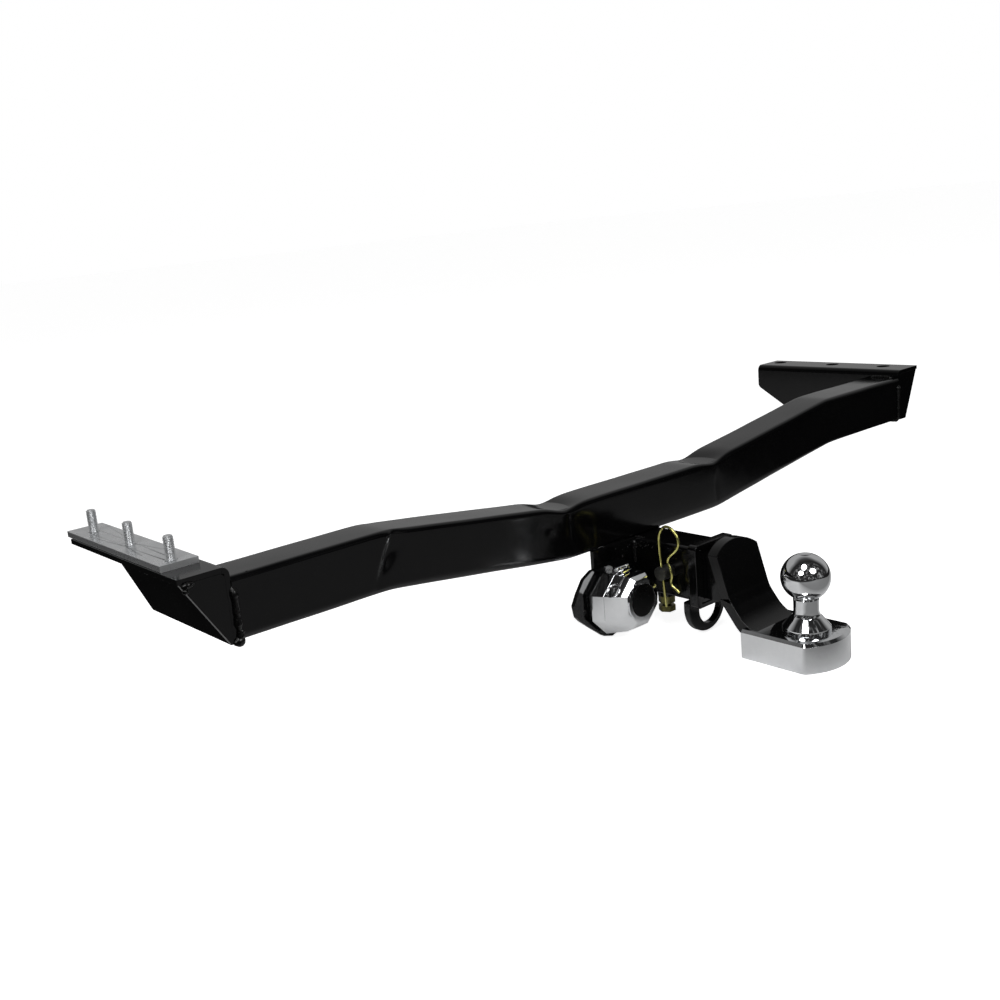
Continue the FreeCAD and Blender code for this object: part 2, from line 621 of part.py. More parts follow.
# ---------------------------------------------------------------- clamp bolt and its nut
CLAMP_TIP = f"{SHANK_LOW} - 0.05"
HEAD_LOW = "clamp_head_top - clamp_head_tall"
shaft = rod("clamp_shaft", "clamp_r", ("0", "clamp_y", "clamp_head_top"), f"{CLAMP_TIP} - clamp_head_top")
head = hex_prism("clamp_head", "head_flats", ("0", "clamp_y", HEAD_LOW), "clamp_head_tall")
keep("clamp_bolt", join("clamp_bolt", [shaft, head]))
CLAMP_NUT_LOW = "clamp_nut_top - clamp_nut_tall"
nut = hex_prism("clamp_nut_block", "head_flats", ("0", "clamp_y", CLAMP_NUT_LOW), "clamp_nut_tall")
hole = rod("clamp_nut_hole", "clamp_r + 0.05", ("0", "clamp_y", f"{CLAMP_NUT_LOW} - 1"), "clamp_nut_tall + 2")
keep("clamp_nut", cut("clamp_nut", nut, hole))
boss = rod("clamp_boss_disc", "clamp_r + 5", ("0", "clamp_y", "clamp_nut_top"), f"{TUBE_LOW} - clamp_nut_top")
hole = rod("clamp_boss_hole", "clamp_r + 0.05", ("0", "clamp_y", "clamp_nut_top - 1"), f"{TUBE_LOW} - clamp_nut_top + 2")
keep("clamp_boss", cut("clamp_boss", boss, hole))

# ---------------------------------------------------------------- trailer socket
carrier = new_body("socket_plate")
shape = new_sketch(carrier, "carrier_shape", "XZ_Plane", "-seat_y")
polygon(shape, [("carrier_left", TUBE_TOP), ("-tube_wide / 2", TUBE_TOP), ("-tube_wide / 2", "carrier_low + 10"),
                ("-tube_wide / 2 - 10", "carrier_low"), ("carrier_left + 6", "carrier_low"),
                ("carrier_left", "carrier_low + 10")])
pad(carrier, shape, "carrier_thick", reverse=True)
holes = new_sketch(carrier, "carrier_holes", "XZ_Plane", "-seat_y")
circle(holes, "socket_x", "socket_z", "bore_r - 12")
SCREW_SPOTS = (("socket_x + ear_x", "socket_z + ear_z"), ("socket_x", "socket_z + high_ear_z"))
for across, up in SCREW_SPOTS:
    circle(holes, across, up, "ear_hole_r")
pocket(carrier, holes, "4 * carrier_thick", midplane=True)
keep("socket_plate", carrier)

flange = new_body("socket_flange")
shape = new_sketch(flange, "flange_shape", "XZ_Plane", "-seat_y")
RIM = ((25.6, 36.1), (39, 29.3), (49.9, 14.9), (56.6, 2.9), (54, -10.7), (48.3, -17.1), (32.1, -30.4), (13.9, -44.3))
REACH = 47.5
left_side = [(f"socket_x - {across}", f"socket_z + {up}") for across, up in RIM]
right_side = [(f"socket_x + {min(across, REACH)}", f"socket_z + {up}") for across, up in reversed(RIM) if up != -10.7]
polygon(shape, left_side + [("socket_x", "socket_z - 48.3")] + right_side)
pad(flange, shape, "flange_thick")


def flange_corner(edge):
    """Corner edges of the flange."""
    return runs_along(edge, "y")


soften(flange, "4", flange_corner)
holes = new_sketch(flange, "flange_holes", "XZ_Plane", "-seat_y")
circle(holes, "socket_x", "socket_z", "bore_r")
circle(holes, "socket_x - ear_x", "socket_z + ear_z", "ear_hole_r")
for across, up in SCREW_SPOTS:
    circle(holes, across, up, "ear_hole_r")
pocket(flange, holes, "2 * flange_thick + 2", midplane=True)
keep("socket_flange", flange)

# housing: short neck, then an eight-sided shell that narrows and rises to its front
FLANGE_FACE = "seat_y - flange_thick"
neck = loft("housing_neck", [octagon("neck_a", "neck_r", ("shell_x", FLANGE_FACE, "shell_z")),
                             octagon("neck_b", "neck_r", ("shell_x", "shell_back - 1", "shell_z"))])
shell = loft("housing_shell", [octagon("shell_a", "shell_r", ("shell_x", "shell_back", "shell_z")),
                               octagon("shell_b", "front_r", ("front_x", "shell_front", "front_z"))])
SHELL_TOP = "front_z + front_r"
knuckles = []
for number, low in enumerate(("-9.5", "5")):
    x_low, x_high = f"front_x + ({low})", f"front_x + ({low}) + 4.5"
    knuckles.append(rod(f"knuckle{number}", "knuckle_r", (x_low, "hinge_y", "hinge_z"), "4.5", "x"))
    knuckles.append(block(f"knuckle_foot{number}", (x_low, "hinge_y", f"{SHELL_TOP} - 3"),
                          (x_high, "hinge_y + 6", "hinge_z")))
    knuckles.append(block(f"knuckle_heel{number}", (x_low, "hinge_y - 1", f"{SHELL_TOP} - 3"),
                          (x_high, "hinge_y + 0.5", "hinge_z - 1")))
barrel = rod("barrel_wall", "barrel_r", ("socket_x", FLANGE_FACE, "socket_z"), f"{FLANGE_FACE} - barrel_front", "y")
bore = rod("socket_bore", "bore_r", ("socket_x", f"{FLANGE_FACE} + 1", "socket_z"), "60", "y")
axle = rod("knuckle_hole", "hinge_r + 0.02", ("front_x - 12", "hinge_y", "hinge_z"), "24", "x")
keep("socket_body", cut("socket_body", join("housing_solid", [neck, shell, barrel] + knuckles),
                        join("housing_space", [bore, axle])))

core = rod("insert_core", "bore_r - 0.2", ("socket_x", "seat_y - 2", "socket_z"), "24", "y")
key = block("insert_key", ("socket_x - 2", "seat_y - 33", "socket_z - bore_r + 0.5"),
            ("socket_x + 2", "seat_y - 25", "socket_z - bore_r + 3.5"))
keep("socket_insert", join("socket_insert", [core, key]))
INSERT_FACE = "seat_y - 26"
contacts = [rod("contact_centre", "2.5", ("socket_x", INSERT_FACE, "socket_z"), "8", "y")]
for step in range(6):
    turn = math.radians(60 * step + 30)
    place = (f"socket_x + 12.5 * {math.cos(turn):.9f}", INSERT_FACE, f"socket_z + 12.5 * {math.sin(turn):.9f}")
    contacts.append(rod(f"contact{step}", "2.5", place, "8", "y"))
keep("socket_contacts", join("socket_contacts", contacts, "Part::Compound"))

screws = []
for number, (across, up) in enumerate(SCREW_SPOTS):
    stem = rod(f"screw_stem{number}", "2.4", (across, "seat_y + carrier_thick + 6", up), "18", "y")
    head = rod(f"screw_head{number}", "4.5", (across, FLANGE_FACE, up), "3", "y")
    nut = hex_prism(f"screw_nut{number}", "8", (across, "seat_y + carrier_thick + 4", up), "4", "y")
    screws.append(join(f"screw{number}", [stem, head, nut]))
keep("socket_screws", join("socket_screws", screws, "Part::Compound"))

# lid: eight-sided cap over the barrel, with a round rim and a disc in its front
LID_BACK = "shell_front - 0.3"
outer = loft("lid_outer", [octagon("lid_a", "front_r - 0.2", ("front_x", LID_BACK, "front_z")),
                           octagon("lid_b", "waist_r", ("waist_x", "waist_y", "waist_z")),
                           octagon("lid_c", "waist_r - 2.5", ("waist_x", "waist_y - 7", "waist_z + 1.3")),
                           octagon("lid_d", "lid_r", ("lid_x", "lid_front", "lid_z"))])
inner = loft("lid_inner", [octagon("lid_e", "front_r - 3.2", ("front_x", f"{LID_BACK} + 0.5", "front_z")),
                           octagon("lid_f", "waist_r - 3", ("waist_x", "waist_y", "waist_z")),
                           octagon("lid_g", "lid_r - 2", ("lid_x", "lid_front + 3.2", "lid_z"))])
rim = rod("lid_rim", "lid_r - 1", ("lid_x", "lid_front + 1", "lid_z"), "2.5", "y")
recess = rod("lid_recess", "disc_r + 0.1", ("lid_x", "lid_front + 0.8", "lid_z"), "6", "y")
lug = rod("lug_barrel", "knuckle_r", ("front_x - 4.7", "hinge_y", "hinge_z"), "9.4", "x")
arm = block("lug_arm", ("front_x - 4.7", "shell_front - 5", f"{SHELL_TOP} - 4"),
            ("front_x + 4.7", LID_BACK, "hinge_z + 1"))
hollow = cut("lid_cap", join("lid_full", [outer, rim]), join("lid_space", [inner, recess]))
pin_bore = rod("lid_pin_bore", "hinge_r + 0.05", ("front_x - 20", "hinge_y", "hinge_z"), "40", "x")
keep("socket_lid", cut("socket_lid", join("lid_solid", [hollow, lug, arm]), pin_bore))
keep("lid_disc", rod("lid_disc", "disc_r", ("lid_x", "lid_front + 0.8", "lid_z"), "1.6", "y"))
keep("lid_hinge_pin", rod("lid_hinge_pin", "hinge_r", ("front_x - 10.5", "hinge_y", "hinge_z"), "21", "x"))

# ---------------------------------------------------------------- weld beads
def end_weld(side, label):
    """Bead all round the beam where it meets a bracket web."""
    leg = "4"
    rings = []
    for number, (place, grow) in enumerate(((f"{side} * beam_half", leg), (f"{side} * (beam_half - {leg})", "0"))):
        ring = doc.addObject("Part::Plane", f"{label}_ring{number}")
        bind(ring, "Length", f"beam_tall + 2 * {grow}")
        bind(ring, "Width", f"beam_depth + 2 * {grow}")
        ring.Placement.Rotation = FreeCAD.Rotation(V(0, 1, 0), -90)
        bind(ring, "Placement.Base.x", place)
        bind(ring, "Placement.Base.y", f"beam_front - {grow}")
        bind(ring, "Placement.Base.z", f"beam_top - beam_tall - {grow}")
        rings.append(ring)
    full = loft(f"{label}_full", rings)
    inside = block(f"{label}_inside", (f"{side} * beam_half - 20", "beam_front", "beam_top - beam_tall"),
                   (f"{side} * beam_half + 20", "beam_front + beam_depth", "beam_top"))
    keep(label, cut(label, full, inside))


def bead(label, plane, corners, offset, length, mirror=False):
    """Straight bead of triangular section, with its mirror twin when asked."""
    body = new_body(f"{label}")
    shape = new_sketch(body, f"{label}_shape", plane, offset)
    polygon(shape, corners)
    pad(body, shape, length)
    if not mirror:
        return keep(label, body)
    twin = doc.addObject("Part::Mirroring", f"{label}_twin")
    twin.Source = body
    twin.Normal = V(1, 0, 0)
    return keep(label, join(label, [body, twin], "Part::Compound"))


end_weld(-1, "left_weld")
end_weld(1, "right_weld")
bead("receiver_welds", "XZ_Plane", [("-tube_wide / 2", TUBE_TOP), ("-tube_wide / 2 - 4", TUBE_TOP),
                                    ("-tube_wide / 2", f"{TUBE_TOP} - 4")], "-tube_front + 2",
     "tube_front - 8", mirror=True)
bead("carrier_weld", "XY_Plane", [("-tube_wide / 2", "seat_y"), ("-tube_wide / 2", "seat_y - 4"),
                                  ("-tube_wide / 2 - 4", "seat_y")], f"{TUBE_TOP} - 21", "20")
bead("drawbar_weld", "YZ_Plane", [(back_face(f"({SHANK_TOP})"), SHANK_TOP),
                                  (back_face(f"({SHANK_TOP} + 5)"), f"{SHANK_TOP} + 5"),
                                  (f"{back_face(f'({SHANK_TOP})')} + 5", SHANK_TOP)], "-tube_wide / 2 + 7",
     "tube_wide - 14")

# ---------------------------------------------------------------- check and write
doc.recompute()
os.makedirs("parts", exist_ok=True)
for item in doc.Objects:
    if "Invalid" in item.State or "Error" in item.State:
        raise ValueError(f"{item.Name} is {item.State}")
for label, item in subparts.items():
    solid = item.Shape
    if solid.isNull() or not solid.isValid() or solid.Volume < 1:
        raise ValueError(f"{label} has no valid solid")
    solid.exportStep(f"parts/{label}.step")
    box = solid.BoundBox
    print(f"{label:18s} {len(solid.Solids)} solids {solid.Volume / 1000:9.2f} cm3  x {box.XMin:.1f} {box.XMax:.1f}"
          f"  y {box.YMin:.1f} {box.YMax:.1f}  z {box.ZMin:.1f} {box.ZMax:.1f}")
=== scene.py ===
"""Looks of a bolt-on removable tow bar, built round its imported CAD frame.

Metres. +Z is up, +X runs along the cross beam and -Y points back to the trailer.
"""
import logging
import math
from collections.abc import Callable, Sequence
from dataclasses import dataclass, field
from enum import Enum

import bpy
import numpy as np
from mathutils import Matrix, Vector


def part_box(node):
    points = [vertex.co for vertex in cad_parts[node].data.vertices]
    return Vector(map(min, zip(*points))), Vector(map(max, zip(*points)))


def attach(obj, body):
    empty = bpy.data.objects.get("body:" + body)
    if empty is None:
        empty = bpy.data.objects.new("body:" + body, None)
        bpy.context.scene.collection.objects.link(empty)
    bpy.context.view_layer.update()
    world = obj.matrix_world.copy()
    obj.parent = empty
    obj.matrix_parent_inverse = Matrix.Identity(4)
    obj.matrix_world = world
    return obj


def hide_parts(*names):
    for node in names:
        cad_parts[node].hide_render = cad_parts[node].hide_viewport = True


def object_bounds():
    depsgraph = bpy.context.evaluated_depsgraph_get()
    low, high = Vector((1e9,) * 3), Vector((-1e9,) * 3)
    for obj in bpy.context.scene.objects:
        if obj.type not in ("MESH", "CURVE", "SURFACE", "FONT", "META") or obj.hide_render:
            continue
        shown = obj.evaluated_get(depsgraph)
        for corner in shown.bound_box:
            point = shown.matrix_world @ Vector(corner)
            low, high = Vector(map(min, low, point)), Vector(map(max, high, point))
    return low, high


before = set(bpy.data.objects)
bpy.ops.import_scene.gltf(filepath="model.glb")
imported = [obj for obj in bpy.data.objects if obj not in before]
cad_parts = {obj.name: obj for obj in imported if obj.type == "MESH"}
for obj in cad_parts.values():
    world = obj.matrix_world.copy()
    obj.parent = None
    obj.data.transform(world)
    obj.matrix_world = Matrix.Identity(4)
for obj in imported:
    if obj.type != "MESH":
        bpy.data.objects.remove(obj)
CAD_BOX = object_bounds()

logging.basicConfig(level=logging.INFO, format="%(message)s")
log = logging.getLogger("tow_bar")

TAU = 2 * math.pi


class Ends(Enum):
    """How the two ends of a grid of points are shut."""

    CLOSED = "closed"
    JOINED = "joined"


class Slot(Enum):
    """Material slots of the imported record."""

    PAINT = "black_paint"
    WELD = "weld_bead"
    ZINC = "zinc_plate"
    YELLOW = "yellow_zinc"
    CHROME = "chrome"
    PLASTIC = "black_plastic"
    BRASS = "contact_brass"


# ---------------------------------------------------------------- surfaces
@dataclass
class Surface:
    """Closed skins gathered into one mesh piece.

    Attributes:
        name: Name of the piece.
        points: One array of vertices per skin.
        quads: Quads of all skins, as vertex numbers.
        tris: Triangles of all skins, as vertex numbers.
        count: Vertices gathered so far.
    """

    name: str
    points: list = field(default_factory=list)
    quads: list = field(default_factory=list)
    tris: list = field(default_factory=list)
    count: int = 0

    def grid(self, rows: np.ndarray, ends: Ends = Ends.CLOSED) -> None:
        """Adds a skin of rows x columns points; columns run round, rows run along.

        Each cell of four neighbours becomes a quad. A closed end gets a fan of triangles to the
        mean point of its row; joined ends make a ring. Faces are turned outward by the sign of
        the skin's volume.

        Args:
            rows: Array of shape (rows, columns, 3).
            ends: How the first and last row are shut.
        """
        along, around, _ = rows.shape
        number = np.arange(along * around).reshape(along, around)
        nxt = np.roll(number, -1, axis=1)
        if ends is Ends.JOINED:
            low, high = number, np.roll(number, -1, axis=0)
            low_n, high_n = nxt, np.roll(nxt, -1, axis=0)
        else:
            low, high, low_n, high_n = number[:-1], number[1:], nxt[:-1], nxt[1:]
        quads = np.stack([low, low_n, high_n, high], axis=-1).reshape(-1, 4)
        verts = rows.reshape(-1, 3)
        tris = np.zeros((0, 3), int)
        if ends is Ends.CLOSED:
            tips = np.stack([rows[0].mean(0), rows[-1].mean(0)])
            first, last = along * around, along * around + 1
            start = np.stack([np.full(around, first), nxt[0], number[0]], axis=-1)
            finish = np.stack([np.full(around, last), number[-1], nxt[-1]], axis=-1)
            tris = np.concatenate([start, finish])
            verts = np.concatenate([verts, tips])
        fans = np.concatenate([quads[:, [0, 1, 2]], quads[:, [0, 2, 3]], tris])
        a, b, c = (verts[fans[:, i]] for i in range(3))
        if np.einsum("ij,ij->i", a, np.cross(b, c)).sum() < 0:
            quads, tris = quads[:, ::-1], tris[:, ::-1]
        self.points.append(verts)
        self.quads.append(quads + self.count)
        self.tris.append(tris + self.count)
        self.count += len(verts)

    def build(self, body: str, slot: Slot, sharp: float = 35.0) -> bpy.types.Object:
        """Makes the piece and lets it ride on a CAD body.

        Args:
            body: CAD body that carries the piece.
            slot: Material slot of the piece.
            sharp: Angle in degrees above which an edge is drawn hard.

        Returns:
            The new object.
        """
        verts = np.concatenate(self.points)
        quads, tris = np.concatenate(self.quads), np.concatenate(self.tris)
        mesh = bpy.data.meshes.new(self.name)
        mesh.vertices.add(len(verts))
        mesh.vertices.foreach_set("co", verts.astype(np.float32).ravel())
        mesh.loops.add(quads.size + tris.size)
        mesh.loops.foreach_set("vertex_index", np.concatenate([quads.ravel(), tris.ravel()]))
        starts = np.concatenate([np.arange(len(quads)) * 4, quads.size + np.arange(len(tris)) * 3])
        mesh.polygons.add(len(starts))
        mesh.polygons.foreach_set("loop_start", starts)
        mesh.polygons.foreach_set("use_smooth", np.ones(len(starts), bool))
        mesh.update(calc_edges=True)
        mesh.validate()
        mesh.set_sharp_from_angle(angle=math.radians(sharp))
        piece = bpy.data.objects.new(self.name, mesh)
        bpy.context.scene.collection.objects.link(piece)
        mesh.materials.append(FINISHES[slot].material())
        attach(piece, body)
        return piece


def smoothstep(value: np.ndarray) -> np.ndarray:
    """Zero below 0, one above 1 and 3t^2 - 2t^3 between."""
    t = np.clip(value, 0, 1)
    return t * t * (3 - 2 * t)


def ramp(value: np.ndarray, width: float) -> np.ndarray:
    """Zero for negative values and the value itself for positive ones, blended over a width."""
    return 0.5 * (value + np.sqrt(value * value + width * width))


def bump(value: np.ndarray, centre: float, width: float) -> np.ndarray:
    """Bell curve exp(-((value - centre) / width)^2)."""
    return np.exp(-(((value - centre) / width) ** 2))


def waves(place: np.ndarray, seed: int, count: int, longest: float) -> np.ndarray:
    """Smooth unevenness: a sum of sines with random directions, lengths and phases.

    The sum is divided by the root of the number of sines and by its usual peak.

    Args:
        place: Points, shape (..., 3).
        seed: Seed of the random draws.
        count: Number of sines.
        longest: Longest wavelength in metres.

    Returns:
        Values of about -1 to 1, one for each point.
    """
    peak = 1.4
    draw = np.random.default_rng(seed)
    total = np.zeros(place.shape[:-1])
    for _ in range(count):
        heading = draw.normal(size=3)
        heading /= np.linalg.norm(heading)
        length = longest * draw.uniform(0.25, 1.0)
        total += np.sin(place @ heading * (TAU / length) + draw.uniform(0, TAU))
    return total / math.sqrt(count) / peak


def rounded_rectangle(width: float, height: float, radius: float) -> np.ndarray:
    """Closed outline of a rectangle with round corners, anticlockwise from the head of its right side.

    Each quarter is an arc of a circle, followed by the straight side that leaves its end.

    Args:
        width: Size along the first axis.
        height: Size along the second axis.
        radius: Corner radius.

    Returns:
        Array of shape (n, 2).
    """
    corner_steps, side_steps = 6, 14
    turns = np.linspace(0, math.pi / 2, corner_steps, endpoint=False)
    out = []
    a, b = width / 2 - radius, height / 2 - radius
    for quarter, (x, y) in enumerate(((a, b), (-a, b), (-a, -b), (a, -b))):
        angle = turns + quarter * math.pi / 2
        arc = np.stack([x + radius * np.cos(angle), y + radius * np.sin(angle)], axis=-1)
        run = 2 * (a if quarter % 2 == 0 else b)
        end = (quarter + 1) * math.pi / 2
        arc_end = np.array([x + radius * math.cos(end), y + radius * math.sin(end)])
        heading = np.array([-math.sin(end), math.cos(end)])
        side = arc_end + heading * np.linspace(0, run, side_steps, endpoint=False)[:, None]
        out += [arc, side]
    return np.concatenate(out)


def smooth_path(corners: Sequence, spacing: float) -> np.ndarray:
    """Evenly spaced points along a polyline whose corners are cut off at a quarter of their sides.

    Args:
        corners: Corner points.
        spacing: Distance between the points given back.

    Returns:
        Array of shape (n, 3).
    """
    path = np.array(corners, float)
    a, b = path[:-1], path[1:]
    inner = np.stack([a * 0.75 + b * 0.25, a * 0.25 + b * 0.75], axis=1).reshape(-1, 3)
    path = np.concatenate([path[:1], inner, path[-1:]])
    run = np.concatenate([[0], np.cumsum(np.linalg.norm(np.diff(path, axis=0), axis=1))])
    at = np.linspace(0, run[-1], max(3, int(run[-1] / spacing) + 1))
    return np.stack([np.interp(at, run, path[:, i]) for i in range(3)], axis=-1)


def sweep(path: np.ndarray, radius: np.ndarray, sides: int) -> np.ndarray:
    """Tube round a path: each row is a circle across the path, its frame carried along unturned.

    Args:
        path: Centre points, shape (n, 3).
        radius: Radius at each point, shape (n,).
        sides: Points round the tube.

    Returns:
        Rows of points, shape (n, sides, 3).
    """
    ahead = np.gradient(path, axis=0)
    ahead /= np.linalg.norm(ahead, axis=1, keepdims=True)
    across = np.zeros_like(path)
    seed = np.array([0, 0, 1.0]) if abs(ahead[0, 2]) < 0.8 else np.array([0, 1.0, 0])
    for i in range(len(path)):
        seed = seed - ahead[i] * (seed @ ahead[i])
        seed /= np.linalg.norm(seed)
        across[i] = seed
    other = np.cross(ahead, across)
    turn = np.linspace(0, TAU, sides, endpoint=False)
    ring = across[:, None] * np.cos(turn)[:, None] + other[:, None] * np.sin(turn)[:, None]
    return path[:, None] + ring * radius[:, None, None]


def revolve(profile: Sequence, centre: Sequence, sides: int) -> np.ndarray:
    """Turns a profile round the upright axis through a centre.

    Args:
        profile: Pairs of radius and height.
        centre: Point that the axis passes through.
        sides: Points round the axis.

    Returns:
        Rows of points, shape (n, sides, 3).
    """
    outline = np.array(profile, float)
    turn = np.linspace(0, TAU, sides, endpoint=False)
    x = outline[:, :1] * np.cos(turn)
    y = outline[:, :1] * np.sin(turn)
    z = np.repeat(outline[:, 1:], sides, axis=1)
    return np.stack([x, y, z], axis=-1) + np.array(centre)


# ---------------------------------------------------------------- shader graphs
class Graph:
    """Short calls for building a node tree."""

    def __init__(self, tree: bpy.types.NodeTree) -> None:
        """Keeps the tree that the nodes go into."""
        self.tree = tree

    def add(self, kind: str, **settings: object) -> bpy.types.Node:
        """Adds a node; a setting whose name is an input socket's sets or links that socket.

        Args:
            kind: Node type after "ShaderNode".
            settings: Properties and sockets; spaces in socket names are written as underscores.

        Returns:
            The new node.
        """
        node = self.tree.nodes.new(f"ShaderNode{kind}")
        pending = {}
        for key, value in settings.items():
            if hasattr(node, key):
                setattr(node, key, value)
            else:
                pending[key.replace("_", " ")] = value
        for key, value in pending.items():
            self.feed(node.inputs[key], value)
        return node

    def feed(self, socket: bpy.types.NodeSocket, value: object) -> None:
        """Links an output to a socket, or sets the socket's own value.

        Args:
            socket: Input socket.
            value: Output socket to link, or a plain value.
        """
        if isinstance(value, bpy.types.NodeSocket):
            self.tree.links.new(value, socket)
        else:
            socket.default_value = value

    def maths(self, operation: str, *values: object, clamp: bool = False) -> bpy.types.NodeSocket:
        """Adds a maths node.

        Args:
            operation: Blender's name of the operation.
            values: Output sockets or numbers it works on.
            clamp: Whether the result is held between 0 and 1.

        Returns:
            The result.
        """
        node = self.tree.nodes.new("ShaderNodeMath")
        node.operation = operation
        node.use_clamp = clamp
        for socket, value in zip(node.inputs, values):
            self.feed(socket, value)
        return node.outputs[0]

    def span(self, value: object, low: float, high: float, to_low: float = 0.0,
             to_high: float = 1.0) -> bpy.types.NodeSocket:
        """Maps a value from one span to another and holds it inside.

        Args:
            value: Output socket to map.
            low: Value that becomes to_low.
            high: Value that becomes to_high.
            to_low: Result at low.
            to_high: Result at high.

        Returns:
            The mapped value.
        """
        node = self.add("MapRange", Value=value)
        for socket, number in zip(node.inputs[1:5], (low, high, to_low, to_high)):
            socket.default_value = number
        return node.outputs[0]

    def blend(self, share: object, first: object, second: object) -> bpy.types.NodeSocket:
        """Mixes two colours.

        Args:
            share: Weight of the second colour.
            first: First colour, or the output socket that gives it.
            second: Second colour, or the output socket that gives it.

        Returns:
            The colour between them.
        """
        node = self.tree.nodes.new("ShaderNodeMix")
        node.data_type = "RGBA"
        for socket, value in zip((node.inputs[0], node.inputs[6], node.inputs[7]), (share, first, second)):
            self.feed(socket, value)
        return node.outputs[2]


@dataclass
class Effect:
    """A shared shader node group with named sockets.

    Attributes:
        name: Name of the group.
        inputs: Socket names with their kinds and defaults.
        outputs: Socket names with their kinds.
        draw: Function that builds the inside from a graph and its input node, giving the outputs.
    """

    name: str
    inputs: dict
    outputs: dict
    draw: Callable

    def tree(self) -> bpy.types.NodeTree:
        """Makes the node group on first use.

        Returns:
            The node group.
        """
        found = bpy.data.node_groups.get(self.name)
        if found:
            return found
        tree = bpy.data.node_groups.new(self.name, "ShaderNodeTree")
        for name, (kind, default) in self.inputs.items():
            socket = tree.interface.new_socket(name, in_out="INPUT", socket_type=f"NodeSocket{kind}")
            if default is not None:
                socket.default_value = default
        for name, kind in self.outputs.items():
            tree.interface.new_socket(name, in_out="OUTPUT", socket_type=f"NodeSocket{kind}")
        graph = Graph(tree)
        given = tree.nodes.new("NodeGroupInput")
        taken = tree.nodes.new("NodeGroupOutput")
        for name, socket in self.draw(graph, given.outputs).items():
            tree.links.new(socket, taken.inputs[name])
        return tree

    def use(self, graph: Graph, **values: object) -> bpy.types.bpy_prop_collection:
        """Adds the group to a graph.

        Args:
            graph: Graph of the material.
            values: Sockets to set or link; spaces in their names are written as underscores.

        Returns:
            The group's outputs, by name.
        """
        node = graph.tree.nodes.new("ShaderNodeGroup")
        node.node_tree = self.tree()
        for key, value in values.items():
            graph.feed(node.inputs[key.replace("_", " ")], value)
        return node.outputs


def draw_patches(graph: Graph, given: bpy.types.bpy_prop_collection) -> dict:
    """Cloudy mask of two noises, one broad and one fine.

    Args:
        graph: Graph of the group's inside.
        given: The group's inputs, by name.

    Returns:
        The group's outputs, by name.
    """
    broad = graph.add("TexNoise", Vector=given["Vector"], Scale=given["Scale"], Detail=5.0, Roughness=0.6)
    fine_scale = graph.maths("MULTIPLY", given["Scale"], 6.3)
    fine = graph.add("TexNoise", Vector=given["Vector"], Scale=fine_scale, Detail=3.0, Roughness=0.7)
    both = graph.maths("MULTIPLY_ADD", broad.outputs[0], 0.7, graph.maths("MULTIPLY", fine.outputs[0], 0.3))
    return {"Mask": graph.span(both, 0.36, 0.64)}


def draw_grain(graph: Graph, given: bpy.types.bpy_prop_collection) -> dict:
    """Fine relief: soft orange peel with a sharper speckle over it.

    Args:
        graph: Graph of the group's inside.
        given: The group's inputs, by name.

    Returns:
        The group's outputs, by name.
    """
    peel = graph.add("TexNoise", Vector=given["Vector"], Scale=given["Scale"], Detail=2.0, Roughness=0.5)
    speck_scale = graph.maths("MULTIPLY", given["Scale"], 5.0)
    speck = graph.add("TexNoise", Vector=given["Vector"], Scale=speck_scale, Detail=2.0, Roughness=0.6)
    height = graph.maths("MULTIPLY_ADD", speck.outputs[0], 0.18, peel.outputs[0])
    relief = graph.add("Bump", Height=height, Distance=given["Depth"], Strength=1.0)
    return {"Normal": relief.outputs[0]}


def draw_wear(graph: Graph, given: bpy.types.bpy_prop_collection) -> dict:
    """Mask of rubbed edges: where a rounded normal leaves the true one, broken up by noise.

    Args:
        graph: Graph of the group's inside.
        given: The group's inputs, by name.

    Returns:
        The group's outputs, by name.
    """
    soft = graph.add("Bevel", samples=6, Radius=given["Width"])
    shape = graph.add("NewGeometry")
    lining = graph.add("VectorMath", operation="DOT_PRODUCT")
    graph.feed(lining.inputs[0], soft.outputs[0])
    graph.feed(lining.inputs[1], shape.outputs["Normal"])
    edge = graph.span(lining.outputs["Value"], 0.985, 0.88)
    chips = graph.add("TexNoise", Vector=given["Vector"], Scale=given["Scale"], Detail=6.0, Roughness=0.75)
    broken = graph.span(chips.outputs[0], 0.5, 0.62)
    return {"Mask": graph.maths("MULTIPLY", edge, broken, clamp=True)}


def draw_dust(graph: Graph, given: bpy.types.bpy_prop_collection) -> dict:
    """Mask of thin dust on faces that look up, in flecks and faint clouds.

    Args:
        graph: Graph of the group's inside.
        given: The group's inputs, by name.

    Returns:
        The group's outputs, by name.
    """
    shape = graph.add("NewGeometry")
    parts = graph.add("SeparateXYZ", Vector=shape.outputs["Normal"])
    upward = graph.span(parts.outputs[2], 0.35, 0.95)
    cloud = graph.add("TexNoise", Vector=given["Vector"], Scale=given["Scale"], Detail=6.0, Roughness=0.7)
    fleck_scale = graph.maths("MULTIPLY", given["Scale"], 22.0)
    fleck = graph.add("TexNoise", Vector=given["Vector"], Scale=fleck_scale, Detail=1.0)
    flecks = graph.span(fleck.outputs[0], 0.66, 0.74)
    clouds = graph.span(cloud.outputs[0], 0.45, 0.75, 0.0, 0.5)
    settled = graph.maths("ADD", clouds, flecks, clamp=True)
    return {"Mask": graph.maths("MULTIPLY", upward, settled, clamp=True)}


